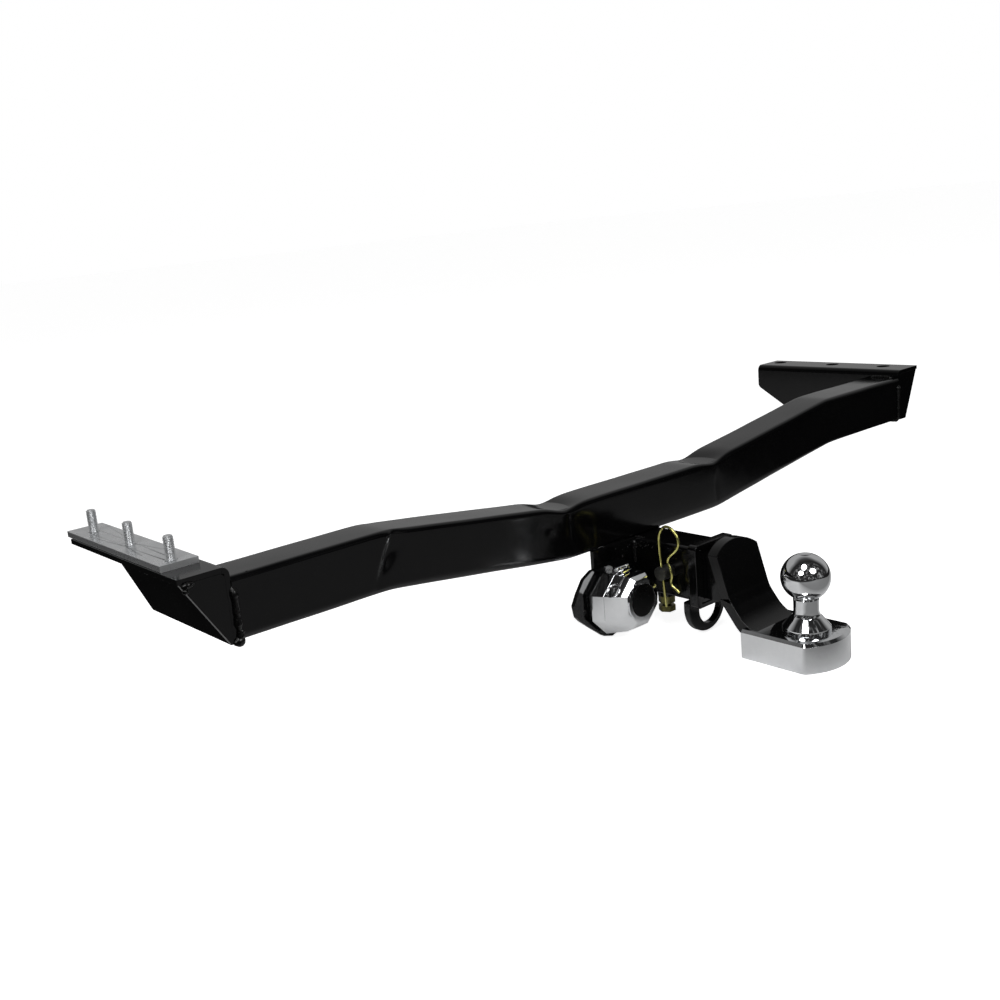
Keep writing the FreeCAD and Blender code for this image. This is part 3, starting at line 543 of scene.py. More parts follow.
VECTOR, NUMBER = "Vector", "Float"
PLACE = {"Vector": (VECTOR, None)}
PATCHES = Effect("patches", PLACE | {"Scale": (NUMBER, 20.0)}, {"Mask": NUMBER}, draw_patches)
GRAIN = Effect("grain", PLACE | {"Scale": (NUMBER, 400.0), "Depth": (NUMBER, 0.0001)},
               {"Normal": VECTOR}, draw_grain)
WEAR = Effect("edge_wear", PLACE | {"Scale": (NUMBER, 120.0), "Width": (NUMBER, 0.001)},
              {"Mask": NUMBER}, draw_wear)
DUST = Effect("dust", PLACE | {"Scale": (NUMBER, 30.0)}, {"Mask": NUMBER}, draw_dust)
WEAR_WIDTH = 0.0012
DUST_SCALE = 34.0
DUST_COLOUR = (0.32, 0.31, 0.29, 1)


@dataclass(frozen=True)
class Finish:
    """One surface finish.

    Attributes:
        name: Name of the material.
        base: Main colour.
        patch: Colour of the cloudy patches.
        metallic: Metallic weight.
        rough: Roughness in clean places and in patches.
        patch_scale: Patches per metre, about.
        grain_scale: Grain features per metre, about.
        grain_depth: Height of the grain in metres.
        wear_colour: Colour of rubbed edges.
        wear: Strength of edge wear.
        dust: Strength of dust.
        ior: Refractive index.
        shine: Specular level, which sets how strongly the surface mirrors head-on.
    """

    name: str
    base: tuple
    patch: tuple
    metallic: float
    rough: tuple
    patch_scale: float = 18.0
    grain_scale: float = 420.0
    grain_depth: float = 0.00004
    wear_colour: tuple = (0.05, 0.05, 0.05, 1)
    wear: float = 0.3
    dust: float = 0.1
    ior: float = 1.5
    shine: float = 0.5

    def material(self) -> bpy.types.Material:
        """Makes the material on first use.

        Returns:
            The material.
        """
        label = f"{self.name}_finish"
        found = bpy.data.materials.get(label)
        if found:
            return found
        made = bpy.data.materials.new(label)
        made.use_nodes = True
        graph = Graph(made.node_tree)
        made.node_tree.nodes.clear()
        place = graph.add("TexCoord").outputs["Object"]
        cloudy = PATCHES.use(graph, Vector=place, Scale=self.patch_scale)["Mask"]
        relief = GRAIN.use(graph, Vector=place, Scale=self.grain_scale, Depth=self.grain_depth)
        rubbed = WEAR.use(graph, Vector=place, Width=WEAR_WIDTH)["Mask"]
        dusty = DUST.use(graph, Vector=place, Scale=DUST_SCALE)["Mask"]
        colour = graph.blend(cloudy, self.base, self.patch)
        colour = graph.blend(graph.maths("MULTIPLY", rubbed, self.wear), colour, self.wear_colour)
        colour = graph.blend(graph.maths("MULTIPLY", dusty, self.dust), colour, DUST_COLOUR)
        rough = graph.span(cloudy, 0, 1, *self.rough)
        rough = graph.maths("MULTIPLY_ADD", dusty, self.dust * 0.5, rough, clamp=True)
        shader = graph.add("BsdfPrincipled", Base_Color=colour, Roughness=rough, Metallic=self.metallic,
                           Normal=relief["Normal"], IOR=self.ior, Specular_IOR_Level=self.shine)
        out = graph.add("OutputMaterial")
        graph.feed(out.inputs["Surface"], shader.outputs[0])
        return made


DULL_ZINC = Finish(
    "dull_zinc", (0.16, 0.16, 0.15, 1), (0.08, 0.08, 0.07, 1), 0.9, (0.28, 0.42),
    patch_scale=160.0, grain_scale=900.0, grain_depth=0.00003, wear_colour=(0.4, 0.4, 0.4, 1))
DULL_YELLOW = Finish(
    "dull_yellow_zinc", (0.20, 0.18, 0.06, 1), (0.08, 0.08, 0.035, 1), 0.9, (0.25, 0.4),
    patch_scale=140.0, grain_scale=900.0, grain_depth=0.00003, wear_colour=(0.4, 0.38, 0.3, 1))
FINISHES = {
    Slot.PAINT: Finish(
        "black_paint", (0.0010, 0.0010, 0.0012, 1), (0.0018, 0.0018, 0.0019, 1), 0.0, (0.10, 0.16),
        patch_scale=14.0, grain_scale=150.0, grain_depth=0.00002, shine=0.38,
        wear_colour=(0.02, 0.02, 0.021, 1), wear=0.2, dust=0.012),
    Slot.WELD: Finish(
        "weld_bead", (0.0012, 0.0012, 0.0013, 1), (0.003, 0.0028, 0.0026, 1), 0.0, (0.18, 0.36),
        patch_scale=90.0, grain_scale=600.0, grain_depth=0.00010, shine=0.3,
        wear_colour=(0.02, 0.02, 0.02, 1), wear=0.3, dust=0.02),
    Slot.ZINC: Finish(
        "zinc_plate", (0.72, 0.73, 0.74, 1), (0.62, 0.63, 0.64, 1), 0.75, (0.24, 0.34),
        patch_scale=60.0, grain_scale=700.0, grain_depth=0.00003,
        wear_colour=(0.7, 0.7, 0.7, 1), wear=0.5, dust=0.08),
    Slot.YELLOW: Finish(
        "yellow_zinc", (0.80, 0.72, 0.26, 1), (0.40, 0.42, 0.12, 1), 1.0, (0.16, 0.28),
        patch_scale=120.0, grain_scale=900.0, grain_depth=0.00002,
        wear_colour=(0.75, 0.72, 0.6, 1), wear=0.4, dust=0.04),
    Slot.CHROME: Finish(
        "chrome", (0.88, 0.89, 0.90, 1), (0.80, 0.81, 0.825, 1), 1.0, (0.02, 0.05),
        patch_scale=26.0, grain_scale=50.0, grain_depth=0.00010,
        wear_colour=(0.7, 0.7, 0.7, 1), wear=0.15, dust=0.02),
    Slot.PLASTIC: Finish(
        "black_plastic", (0.002, 0.002, 0.002, 1), (0.003, 0.003, 0.003, 1), 0.0, (0.25, 0.36),
        grain_scale=1400.0, ior=1.25, dust=0.01),
    Slot.BRASS: Finish(
        "contact_brass", (0.62, 0.45, 0.16, 1), (0.5, 0.36, 0.14, 1), 1.0, (0.2, 0.3),
        patch_scale=200.0, grain_scale=1500.0, grain_depth=0.00001, dust=0.02),
}


# ---------------------------------------------------------------- CAD nodes
@dataclass(frozen=True)
class Dressing:
    """Finish and edge rounding of CAD nodes that are shown as they are.

    Attributes:
        finish: Finish of the nodes.
        edge: Width that sharp edges are rounded off to, or 0 for none.
        nodes: Names of the nodes.
    """

    finish: Finish
    edge: float
    nodes: tuple

    def apply(self) -> None:
        """Gives each node its material and softened edges."""
        for name in self.nodes:
            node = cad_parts[name]
            node.data.materials.clear()
            node.data.materials.append(self.finish.material())
            node.data.polygons.foreach_set("use_smooth", np.ones(len(node.data.polygons), bool))
            joined = node.modifiers.new("joined", "WELD")
            joined.merge_threshold = 2e-6
            if self.edge:
                round_off = node.modifiers.new("round_off", "BEVEL")
                round_off.width = self.edge
                round_off.segments = 3
                round_off.limit_method = "ANGLE"
                round_off.angle_limit = math.radians(28)
                round_off.use_clamp_overlap = True
            evened = node.modifiers.new("evened", "WEIGHTED_NORMAL")
            evened.keep_sharp = False
            evened.weight = 90
            log.info("dressed %s", name)


DRESSINGS = (
    Dressing(FINISHES[Slot.PAINT], 0.0007, (
        "left_bracket", "right_bracket", "left_gusset", "right_gusset", "receiver_tube", "receiver_collar",
        "drawbar_shank", "drawbar_bar", "socket_plate", "socket_flange", "clamp_boss")),
    Dressing(FINISHES[Slot.PAINT], 0.0014, ("chain_loop",)),
    Dressing(FINISHES[Slot.ZINC], 0.0006, ("stud_plate",)),
    Dressing(FINISHES[Slot.ZINC], 0.0004, ("ball_washer", "ball_nut", "socket_screws", "lid_hinge_pin")),
    Dressing(DULL_ZINC, 0.0006, ("hitch_pin",)),
    Dressing(DULL_YELLOW, 0.0004, ("clamp_bolt", "clamp_nut")),
    Dressing(FINISHES[Slot.YELLOW], 0.0, ("retaining_clip",)),
    Dressing(FINISHES[Slot.CHROME], 0.0009, ("end_cover", "socket_body", "socket_lid")),
    Dressing(FINISHES[Slot.PLASTIC], 0.0003, ("socket_insert", "ball_spacer", "lid_disc")),
    Dressing(FINISHES[Slot.BRASS], 0.0002, ("socket_contacts",)),
)


# ---------------------------------------------------------------- cross beam
@dataclass
class BeamSkin:
    """Rectangular tube bent cold, with the crushed top walls and creased sides of its bends.

    Attributes:
        drop: How far the middle hangs below the ends.
        bend_out: Distance of the outer bends from the middle.
        bend_in: Distance of the inner bends from the middle.
        corner: Radius of the tube's long edges outside.
        corner_in: Radius of the tube's long edges inside.
        wall: Wall thickness.
        cave: Depth of the caved-in top wall over an inner bend.
        rim: Height of the faint rise beyond the cave-in.
        swell: Bulge of a side wall at an inner bend.
        tuck: Depth of the narrow crease in that bulge.
        pock: Depth of the small mark beside the left inner bend.
        fold: Depth of the slanted fold at the left outer bend.
        fold_lean: How far the fold leans along x over the tube's height.
        notch: Depth of the notch in the top edge above the fold.
        unevenness: Height of the slow waves of the rolled walls.
        stations: Cross sections along the outer skin.
        lining_step: Cross sections of the outer skin for each one of the inner skin.
    """

    drop: float = 0.0328
    bend_out: float = 0.367
    bend_in: float = 0.129
    corner: float = 0.005
    corner_in: float = 0.002
    wall: float = 0.004
    cave: float = 0.0062
    rim: float = 0.0002
    swell: float = 0.0004
    tuck: float = 0.0005
    pock: float = 0.0007
    fold: float = 0.0034
    fold_lean: float = 0.032
    notch: float = 0.0012
    unevenness: float = 0.00022
    stations: int = 620
    lining_step: int = 12

    def __post_init__(self) -> None:
        """Reads the tube's place and section from the CAD beam."""
        low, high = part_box("cross_beam")
        self.half = high.x
        self.y_mid = (low.y + high.y) / 2
        self.wide = high.y - low.y
        self.top = high.z
        self.tall = high.z - low.z - self.drop

    def sag(self, x: np.ndarray) -> np.ndarray:
        """Drop of the tube's axis: flat ends, straight slopes and a flat middle, bends blended.

        Args:
            x: Place along the beam.

        Returns:
            Drop at each place.
        """
        reach = np.abs(x)
        slope = self.drop / (self.bend_out - self.bend_in)
        return slope * (ramp(self.bend_out - reach, 0.008) - ramp(self.bend_in - reach, 0.010))

    def cave_in(self, x: np.ndarray, across: np.ndarray, hand: int, share: float) -> np.ndarray:
        """Rise of the top wall at an inner bend: a sunk bell along x, and a faint bell beyond it.

        The bells stand slightly askew, and the sunk one is deepest in mid-width.

        Args:
            x: Place along the beam.
            across: Place across the section, from its centre.
            hand: -1 for the left bend, 1 for the right one.
            share: Share of the full depth.

        Returns:
            Shift along z.
        """
        middle = hand * (self.bend_in - 0.004)
        askew = across * 0.12 * hand
        hollow = bump(x + askew, middle, 0.021) * (1 - 0.45 * (across / (self.wide / 2)) ** 2)
        beyond = bump(x + askew, middle + hand * 0.036, 0.014)
        return -self.cave * share * hollow + self.rim * beyond

    def crease(self, x: np.ndarray, up: np.ndarray, hand: int) -> np.ndarray:
        """Outward shift of a side wall at an inner bend: a bell under the top edge less a narrow one.

        Args:
            x: Place along the beam.
            up: Height in the section, from its centre.
            hand: -1 for the left bend, 1 for the right one.

        Returns:
            Shift away from the tube's middle plane.
        """
        middle = hand * self.bend_in
        bulge = bump(x, middle, 0.018) * bump(up, self.tall / 2 - 0.012, 0.014)
        pinch = bump(x, middle - hand * 0.002, 0.0035) * bump(up, 0.004, 0.020)
        return self.swell * bulge - self.tuck * pinch

    def left_marks(self, x: np.ndarray, up: np.ndarray) -> tuple:
        """Marks in the side walls left of the middle, each near 1 at its deepest.

        The pock is a bell both ways. The fold is a step across a slanted line that fades out on
        both sides of the line and towards the top and bottom edges. The notch is a bell along x
        that grows towards the top edge.

        Args:
            x: Place along the beam.
            up: Height in the section, from its centre.

        Returns:
            Pairs of a mark's depth and its shape.
        """
        low = (self.tall / 2 - up) / self.tall
        line = x + self.bend_out - 0.006 + self.fold_lean * low
        pock = bump(x, -self.bend_in - 0.026, 0.007) * bump(up, 0.003, 0.0016)
        fold = smoothstep(line / 0.006 + 0.5) * bump(line, 0.002, 0.013) * bump(low, 0.36, 0.30)
        notch = bump(x, -self.bend_out + 0.006, 0.008) * smoothstep((up - self.tall / 2 + 0.014) / 0.010)
        return (self.pock, pock), (self.fold, fold), (self.notch, notch)

    def dents(self, x: np.ndarray, across: np.ndarray, up: np.ndarray) -> tuple:
        """Shifts of the skin at the bends, each kept to its own wall by a soft step near the edge.

        Args:
            x: Place along the beam.
            across: Place across the section, from its centre.
            up: Height in the section, from its centre.

        Returns:
            Shift along y and shift along z.
        """
        inset, fade = 0.009, 0.007
        on_top = smoothstep((up - (self.tall / 2 - inset)) / fade)
        side = np.sign(across) * smoothstep((np.abs(across) - (self.wide / 2 - inset)) / fade)
        shift_y, shift_z = np.zeros_like(x), np.zeros_like(x)
        for hand, share in ((-1, 1.0), (1, 0.9)):
            shift_z += on_top * self.cave_in(x, across, hand, share)
            shift_y += side * self.crease(x, up, hand)
        for depth, mark in self.left_marks(x, up):
            shift_y -= side * depth * mark
        return shift_y, shift_z

    def build(self) -> bpy.types.Object:
        """Outer skin with dents and a plain inner skin, shut by thin rings at the ends.

        Returns:
            The new piece.
        """
        x = np.linspace(-self.half, self.half, self.stations)
        outer = rounded_rectangle(self.wide, self.tall, self.corner)
        inner = rounded_rectangle(self.wide - 2 * self.wall, self.tall - 2 * self.wall, self.corner_in)
        across, up = outer[:, 0], outer[:, 1]
        grid_x = np.repeat(x[:, None], len(outer), axis=1)
        shift_y, shift_z = self.dents(grid_x, across[None] + 0 * grid_x, up[None] + 0 * grid_x)
        skin = np.stack([grid_x, self.y_mid + across + shift_y,
                         self.top - self.tall / 2 - self.sag(grid_x) + up + shift_z], axis=-1)
        rolled = self.unevenness * waves(skin, 11, 10, 0.16)
        skin[..., 1:] += rolled[..., None] * np.sign(outer)
        back_x = grid_x[::-1][::self.lining_step]
        lining = np.stack([back_x, self.y_mid + inner[:, 0] + 0 * back_x,
                           self.top - self.tall / 2 - self.sag(back_x) + inner[:, 1]], axis=-1)
        surface = Surface("beam_skin")
        surface.grid(np.concatenate([skin, lining]), Ends.JOINED)
        piece = surface.build("tow_bar", Slot.PAINT, 50)
        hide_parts("cross_beam")
        return piece


# ---------------------------------------------------------------- welds
@dataclass(frozen=True)
class Bead:
    """Run of weld: a lumpy half-sunk tube with the ripples of its pools.

    Attributes:
        path: Corner points of the run.
        width: Half width of the bead.
        seed: Seed of its unevenness.
        spacing: Distance between its cross sections.
        pool: Length of one weld pool.
    """

    path: tuple
    width: float
    seed: int
    spacing: float = 0.0006
    pool: float = 0.0042

    def rows(self) -> np.ndarray:
        """Tube round the run; its radius swells at each pool and thins out at both ends.

        Returns:
            Rows of points, shape (n, 14, 3).
        """
        line = smooth_path(self.path, self.spacing)
        run = np.concatenate([[0], np.cumsum(np.linalg.norm(np.diff(line, axis=0), axis=1))])
        phase = run / self.pool + 0.35 * waves(line, self.seed, 6, 0.02)
        scallop = 1 - 0.10 * np.abs(np.sin(math.pi * phase)) ** 0.7
        lumps = 1 + 0.22 * waves(line, self.seed + 1, 8, 0.03)
        ends = np.sqrt(np.clip(np.minimum(run, run[-1] - run) / self.width, 0.02, 1))
        return sweep(line, self.width * scallop * lumps * ends, 14)


def box_of(node: str) -> tuple:
    """Corners of a CAD node's box, as arrays.

    Args:
        node: Name of the node.

    Returns:
        Lowest corner and highest corner.
    """
    low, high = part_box(node)
    return np.array(low), np.array(high)


@dataclass
class Welds:
    """All weld runs of the bar, in the places of the CAD beads.

    Attributes:
        tube_tall: Height of the cross beam's section.
        inset: Share of the beam's half length at which the beads round its ends lie.
        beam: Half width of the beads round the beam's ends.
        gusset: Half width of the beads along the gussets.
        receiver: Half width of the beads beside the receiver.
        carrier: Half width of the bead at the socket plate.
        drawbar: Half width of the bead between the drawbar's shank and its bar.
    """

    tube_tall: float = 0.060
    inset: float = 0.9978
    beam: float = 0.0032
    gusset: float = 0.0022
    receiver: float = 0.0030
    carrier: float = 0.0028
    drawbar: float = 0.0038

    def end_runs(self, hand: int) -> list:
        """Runs round the beam's end and along the gusset of one bracket, with dabs on the left one.

        Args:
            hand: -1 for the left bracket, 1 for the right one.

        Returns:
            The bead of each run.
        """
        beam_low, beam_high = box_of("cross_beam")
        x = hand * beam_high[0] * self.inset
        top, bottom = beam_high[2], beam_high[2] - self.tube_tall
        rear, front = beam_low[1], beam_high[1]
        around = ((x, rear, bottom), (x, rear, top), (x, front, top), (x, front, bottom), (x, rear, bottom))
        upright, start_x, end_x = (hand * (abs(beam_high[0]) + out) for out in (0.0055, 0.012, 0.044))
        runs = [
            Bead(around, self.beam, 21 + hand),
            Bead(((upright, 0.0055, -0.012), (upright, 0.0055, -0.066)), self.gusset, 31 + hand),
            Bead(((start_x, 0.006, -0.0055), (end_x, 0.006, -0.0055)), self.gusset, 41 + hand),
        ]
        if hand < 0:
            corner, foot = box_of("left_bracket")[0][0] + 0.003, x - 0.002
            dabs = (
                ((corner, -0.0005, -0.0075), (corner + 0.013, -0.001, -0.006), 0.0038),
                ((corner + 0.002, 0.001, -0.014), (corner + 0.006, -0.001, -0.009), 0.0032),
                ((foot - 0.005, 0.0, bottom - 0.001), (foot + 0.007, 0.001, bottom + 0.001), 0.0050),
                ((foot + 0.004, 0.001, bottom), (foot + 0.006, 0.002, bottom + 0.012), 0.0036),
                ((foot, 0.003, top - 0.006), (foot + 0.022, 0.004, top - 0.001), 0.0026),
            )
            runs += [Bead((start, end), width, seed) for seed, (start, end, width) in enumerate(dabs, 45)]
        return runs

    def middle_runs(self) -> dict:
        """Runs at the receiver, the socket plate and the drawbar.

        Returns:
            Lists of beads by the CAD node they stand for.
        """
        _, tube_high = box_of("receiver_tube")
        side, top = tube_high[0], tube_high[2]
        neck_low, neck_high = box_of("drawbar_weld")
        y, z = neck_high[1] - 0.001, neck_low[2] + 0.001
        beside = [Bead(((hand * side, 0.004, top), (hand * side, 0.047, top)), self.receiver, 51 + hand)
                  for hand in (-1, 1)]
        plate = Bead(((-side, -0.001, top - 0.003), (-side, -0.001, top - 0.030)), self.carrier, 61)
        bar = Bead(((neck_low[0], y, z), (neck_high[0], y, z)), self.drawbar, 71)
        return {"receiver_welds": beside, "carrier_weld": [plate], "drawbar_weld": [bar]}

    def build(self) -> list:
        """One piece for each CAD weld node.

        Returns:
            The new pieces.
        """
        cad = {"left_weld": self.end_runs(-1), "right_weld": self.end_runs(1)} | self.middle_runs()
        pieces = []
        for node, runs in cad.items():
            surface = Surface(f"{node}_bead")
            for run in runs:
                surface.grid(run.rows())
            piece = surface.build("tow_bar", Slot.WELD)
            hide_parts(node)
            pieces.append(piece)
        return pieces


# ---------------------------------------------------------------- studs
@dataclass
class Studs:
    """Three bolts with rolled threads and six-sided heads.

    Attributes:
        radius: Thread's outer radius.
        pitch: Thread pitch.
        depth: Thread depth.
        flats: Size of the head across flats.
        head_tall: Height of the head.
        start: Height in the head at which the threaded rod starts.
        point_long: Length of the tapered point.
        point_deep: How much the point falls in radius.
    """

    radius: float = 0.0050
    pitch: float = 0.0015
    depth: float = 0.00085
    flats: float = 0.017
    head_tall: float = 0.0064
    start: float = 0.004
    point_long: float = 0.0014
    point_deep: float = 0.0009

    def thread(self, centre: tuple, low: float, high: float) -> np.ndarray:
        """Screwed rod: radius falls by the depth times a cropped triangle wave of turn and height.

        Args:
            centre: Place of the axis, x and y.
            low: Height of the rod's foot.
            high: Height of the rod's point.

        Returns:
            Rows of points, shape (n, 40, 3).
        """
        sides, per_turn = 40, 10
        z = np.linspace(low, high, int((high - low) / self.pitch * per_turn))
        turn = np.linspace(0, TAU, sides, endpoint=False)
        phase = (z[:, None] / self.pitch - turn[None] / TAU) % 1.0
        groove = np.clip(1.25 * np.abs(2 * phase - 1) - 0.12, 0, 1)
        lead_in = smoothstep((high - z) / self.point_long)[:, None]
        reach = self.radius - self.depth * (1 - groove) - self.point_deep * (1 - lead_in)
        x = centre[0] + reach * np.cos(turn)
        y = centre[1] + reach * np.sin(turn)
        return np.stack([x, y, np.repeat(z[:, None], sides, axis=1)], axis=-1)

    def head(self, centre: tuple, low: float, high: float) -> np.ndarray:
        """Hexagon with its corners cropped by a cone top and bottom.

        Args:
            centre: Place of the axis, x and y.
            low: Height of the underside.
            high: Height of the upper side.

        Returns:
            Rows of points, shape (8, 48, 3).
        """
        sides = 48
        turn = np.linspace(0, TAU, sides, endpoint=False)
        hexagon = self.flats / 2 / np.cos((turn + math.pi / 6) % (math.pi / 3) - math.pi / 6)
        cone = ((0.0, 0.3), (0.0, 0.95), (0.0006, 1.06), (0.0016, 2.0))
        levels = [(low + rise, limit) for rise, limit in cone]
        levels += [(high - rise, limit) for rise, limit in reversed(cone)]
        rows = []
        for z, limit in levels:
            reach = np.minimum(hexagon, self.flats / 2 * limit)
            rows.append(np.stack([centre[0] + reach * np.cos(turn), centre[1] + reach * np.sin(turn),
                                  np.full(sides, z)], axis=-1))
        return np.stack(rows)

    def build(self) -> bpy.types.Object:
        """All three bolts as one piece.

        Returns:
            The new piece.
        """
        low, high = box_of("mounting_bolts")
        x = (low[0] + high[0]) / 2
        first, last = low[1] + self.flats / 2, high[1] - self.flats / 2
        surface = Surface("stud_threads")
        for y in np.linspace(first, last, 3):
            surface.grid(self.thread((x, y), low[2] + self.start, high[2]))
            surface.grid(self.head((x, y), low[2], low[2] + self.head_tall))
        piece = surface.build("tow_bar", Slot.ZINC, 30)
        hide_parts("mounting_bolts")
        return piece


# ---------------------------------------------------------------- tow ball
@dataclass
class TowBall:
    """Turned and chromed ball with its neck and bevelled foot.

    Attributes:
        radius: Radius of the ball.
        crown: Height of the flat crown over the ball's centre, as a share of the radius.
        neck: Radius of the neck.
        flare: How much the neck widens towards its foot.
        foot_tall: Height of the foot over the end cover.
        foot: Radius of the foot.
        stem: Radius of the stem below it.
    """

    radius: float = 0.025
    crown: float = 0.97
    neck: float = 0.0128
    flare: float = 0.0012
    foot_tall: float = 0.016
    foot: float = 0.0245
    stem: float = 0.0100

    def build(self) -> bpy.types.Object:
        """Revolved outline: cropped sphere, waisted neck, coned foot and the plain rod of the stem.

        Returns:
            The new piece.
        """
        low, high = box_of("tow_ball")
        seat = box_of("end_cover")[1][2]
        centre = np.array([0.0, (low[1] + high[1]) / 2, 0.0])
        ball_z = high[2] - self.radius * self.crown
        crown_turn = math.acos(self.crown)
        neck_turn = math.pi - math.asin(self.neck / self.radius) + 0.02
        outline = [(1e-5, high[2] - 0.0004), (self.radius * math.sin(crown_turn) * 0.8, high[2] - 0.0003)]
        outline += [(self.radius * math.sin(turn), ball_z + self.radius * math.cos(turn))
                    for turn in np.linspace(crown_turn, neck_turn, 60)]
        waist, foot_top = outline[-1][1], seat + self.foot_tall
        for t in np.linspace(0.08, 1, 16):
            widening = self.flare * (2 * t - 1) ** 4 * (1 if t > 0.5 else 0.3)
            outline.append((self.neck + widening, waist + (foot_top - waist) * t))
        outline += [
            (0.0150, foot_top - 0.0008), (0.0162, foot_top - 0.0018),
            (0.0236, seat + 0.0052), (0.0243, seat + 0.0044), (self.foot, seat + 0.0034),
            (self.foot, seat + 0.0003), (0.0242, seat), (self.stem, seat - 0.0001),
            (self.stem, low[2] + 0.001), (0.0092, low[2]), (1e-5, low[2]),
        ]
        surface = Surface("ball_turned")
        surface.grid(revolve(outline, centre, 128))
        piece = surface.build("tow_bar", Slot.CHROME, 24)
        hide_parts("tow_ball")
        return piece


# ---------------------------------------------------------------- small details
class Spot(Enum):
    """Where a drop of spatter sits."""

    RECEIVER_SIDE = 0
    SOCKET_PLATE = 1
    RECEIVER_TOP = 2


@dataclass
class Spatter:
    """Drops of weld spatter round the joint of receiver and socket plate.

    Attributes:
        count: Number of drops.
        seed: Seed of their places and sizes.
        smallest: Radius of the smallest drop.
        largest: Radius of the largest drop.
    """

    count: int = 46
    seed: int = 5
    smallest: float = 0.0004
    largest: float = 0.0011

    def place(self, spot: Spot, draw: np.random.Generator) -> tuple:
        """Draws the place of a drop.

        Args:
            spot: Face that the drop sits on.
            draw: Source of the random draws.

        Returns:
            Place of the drop's centre.
        """
        low, high = box_of("receiver_tube")
        plate_low, plate_high = box_of("socket_plate")
        if spot is Spot.RECEIVER_SIDE:
            return low[0] - 0.0002, draw.uniform(-0.030, -0.002), high[2] - draw.uniform(0.001, 0.012)
        if spot is Spot.SOCKET_PLATE:
            x = plate_high[0] - abs(draw.normal(0, 0.016)) - 0.002
            return max(x, plate_low[0] + 0.03), plate_low[1] - 0.0001, high[2] - draw.uniform(0.002, 0.022)
        return low[0] - draw.uniform(-0.006, 0.0), draw.uniform(-0.012, 0.0), high[2] + 0.0001

    def build(self) -> bpy.types.Object:
        """Half-sunk flattened balls: x, y, z of a sphere scaled by the drop's radius.

        Returns:
            The new piece.
        """
        draw = np.random.default_rng(self.seed)
        polar = np.linspace(0.15, math.pi - 0.15, 7)
        turn = np.linspace(0, TAU, 10, endpoint=False)
        ball = np.stack([np.sin(polar)[:, None] * np.cos(turn), np.sin(polar)[:, None] * np.sin(turn),
                         np.repeat(np.cos(polar)[:, None], len(turn), axis=1)], axis=-1)
        surface = Surface("weld_spatter")
        for number in range(self.count):
            reach = draw.uniform(self.smallest, self.largest)
            place = self.place(Spot(number % len(Spot)), draw)
            surface.grid(ball * reach * np.array([1.0, 0.9, 0.9]) + np.array(place))
        return surface.build("tow_bar", Slot.WELD)


@dataclass
class LidBoss:
    """Oval rim and bare field on the upper left slope of the lid.

    Attributes:
        long: Half length along y.
        short: Half width down the slope.
        rim: Radius of the rim's own section.
        aside: Shift down the slope from its middle line.
        y: Place of its middle along y.
        sunk: How far its middle lies below the slope's flat.
        tilt: Lean of its long axis off the y axis, in degrees.
    """

    long: float = 0.0074
    short: float = 0.0082
    rim: float = 0.0011
    aside: float = 0.0040
    y: float = -0.0366
    sunk: float = 0.0009
    tilt: float = 6.0

    def build(self) -> bpy.types.Object:
        """Ring swept round an ellipse on the slope, and a shallow domed disc inside it.

        Returns:
            The new piece.
        """
        low, high = box_of("socket_lid")
        reach = (high[0] - low[0]) / 2
        axis = np.array([(low[0] + high[0]) / 2, self.y, low[2] + reach])
        out = np.array([-math.sqrt(0.5), 0.0, math.sqrt(0.5)])
        down = np.array([-math.sqrt(0.5), 0.0, -math.sqrt(0.5)])
        back = np.array([0.0, -1.0, 0.0])
        heart = axis + out * (reach - self.sunk) + down * self.aside
        turn = np.linspace(0, TAU, 72, endpoint=False)
        section = np.linspace(0, TAU, 12, endpoint=False)
        tilt = math.radians(self.tilt)
        along = back * math.cos(tilt) - out * math.sin(tilt)
        spoke = np.cos(turn)[:, None] * along * self.long + np.sin(turn)[:, None] * down * self.short
        heading = spoke / np.linalg.norm(spoke, axis=1, keepdims=True)
        ring = (heart + spoke)[:, None] + self.rim * (np.cos(section)[:, None] * heading[:, None]
                                                      + np.sin(section)[:, None] * out)
        surface = Surface("lid_boss")
        surface.grid(ring, Ends.JOINED)
        shares = np.array([1.0, 0.98, 0.8, 0.55, 0.3, 0.05])
        rises = np.array([-0.0016, 0.0, 0.0002, 0.0004, 0.0005, 0.00055])
        surface.grid(heart + shares[:, None, None] * spoke + (rises[:, None] * out)[:, None])
        return surface.build("lid", Slot.CHROME)


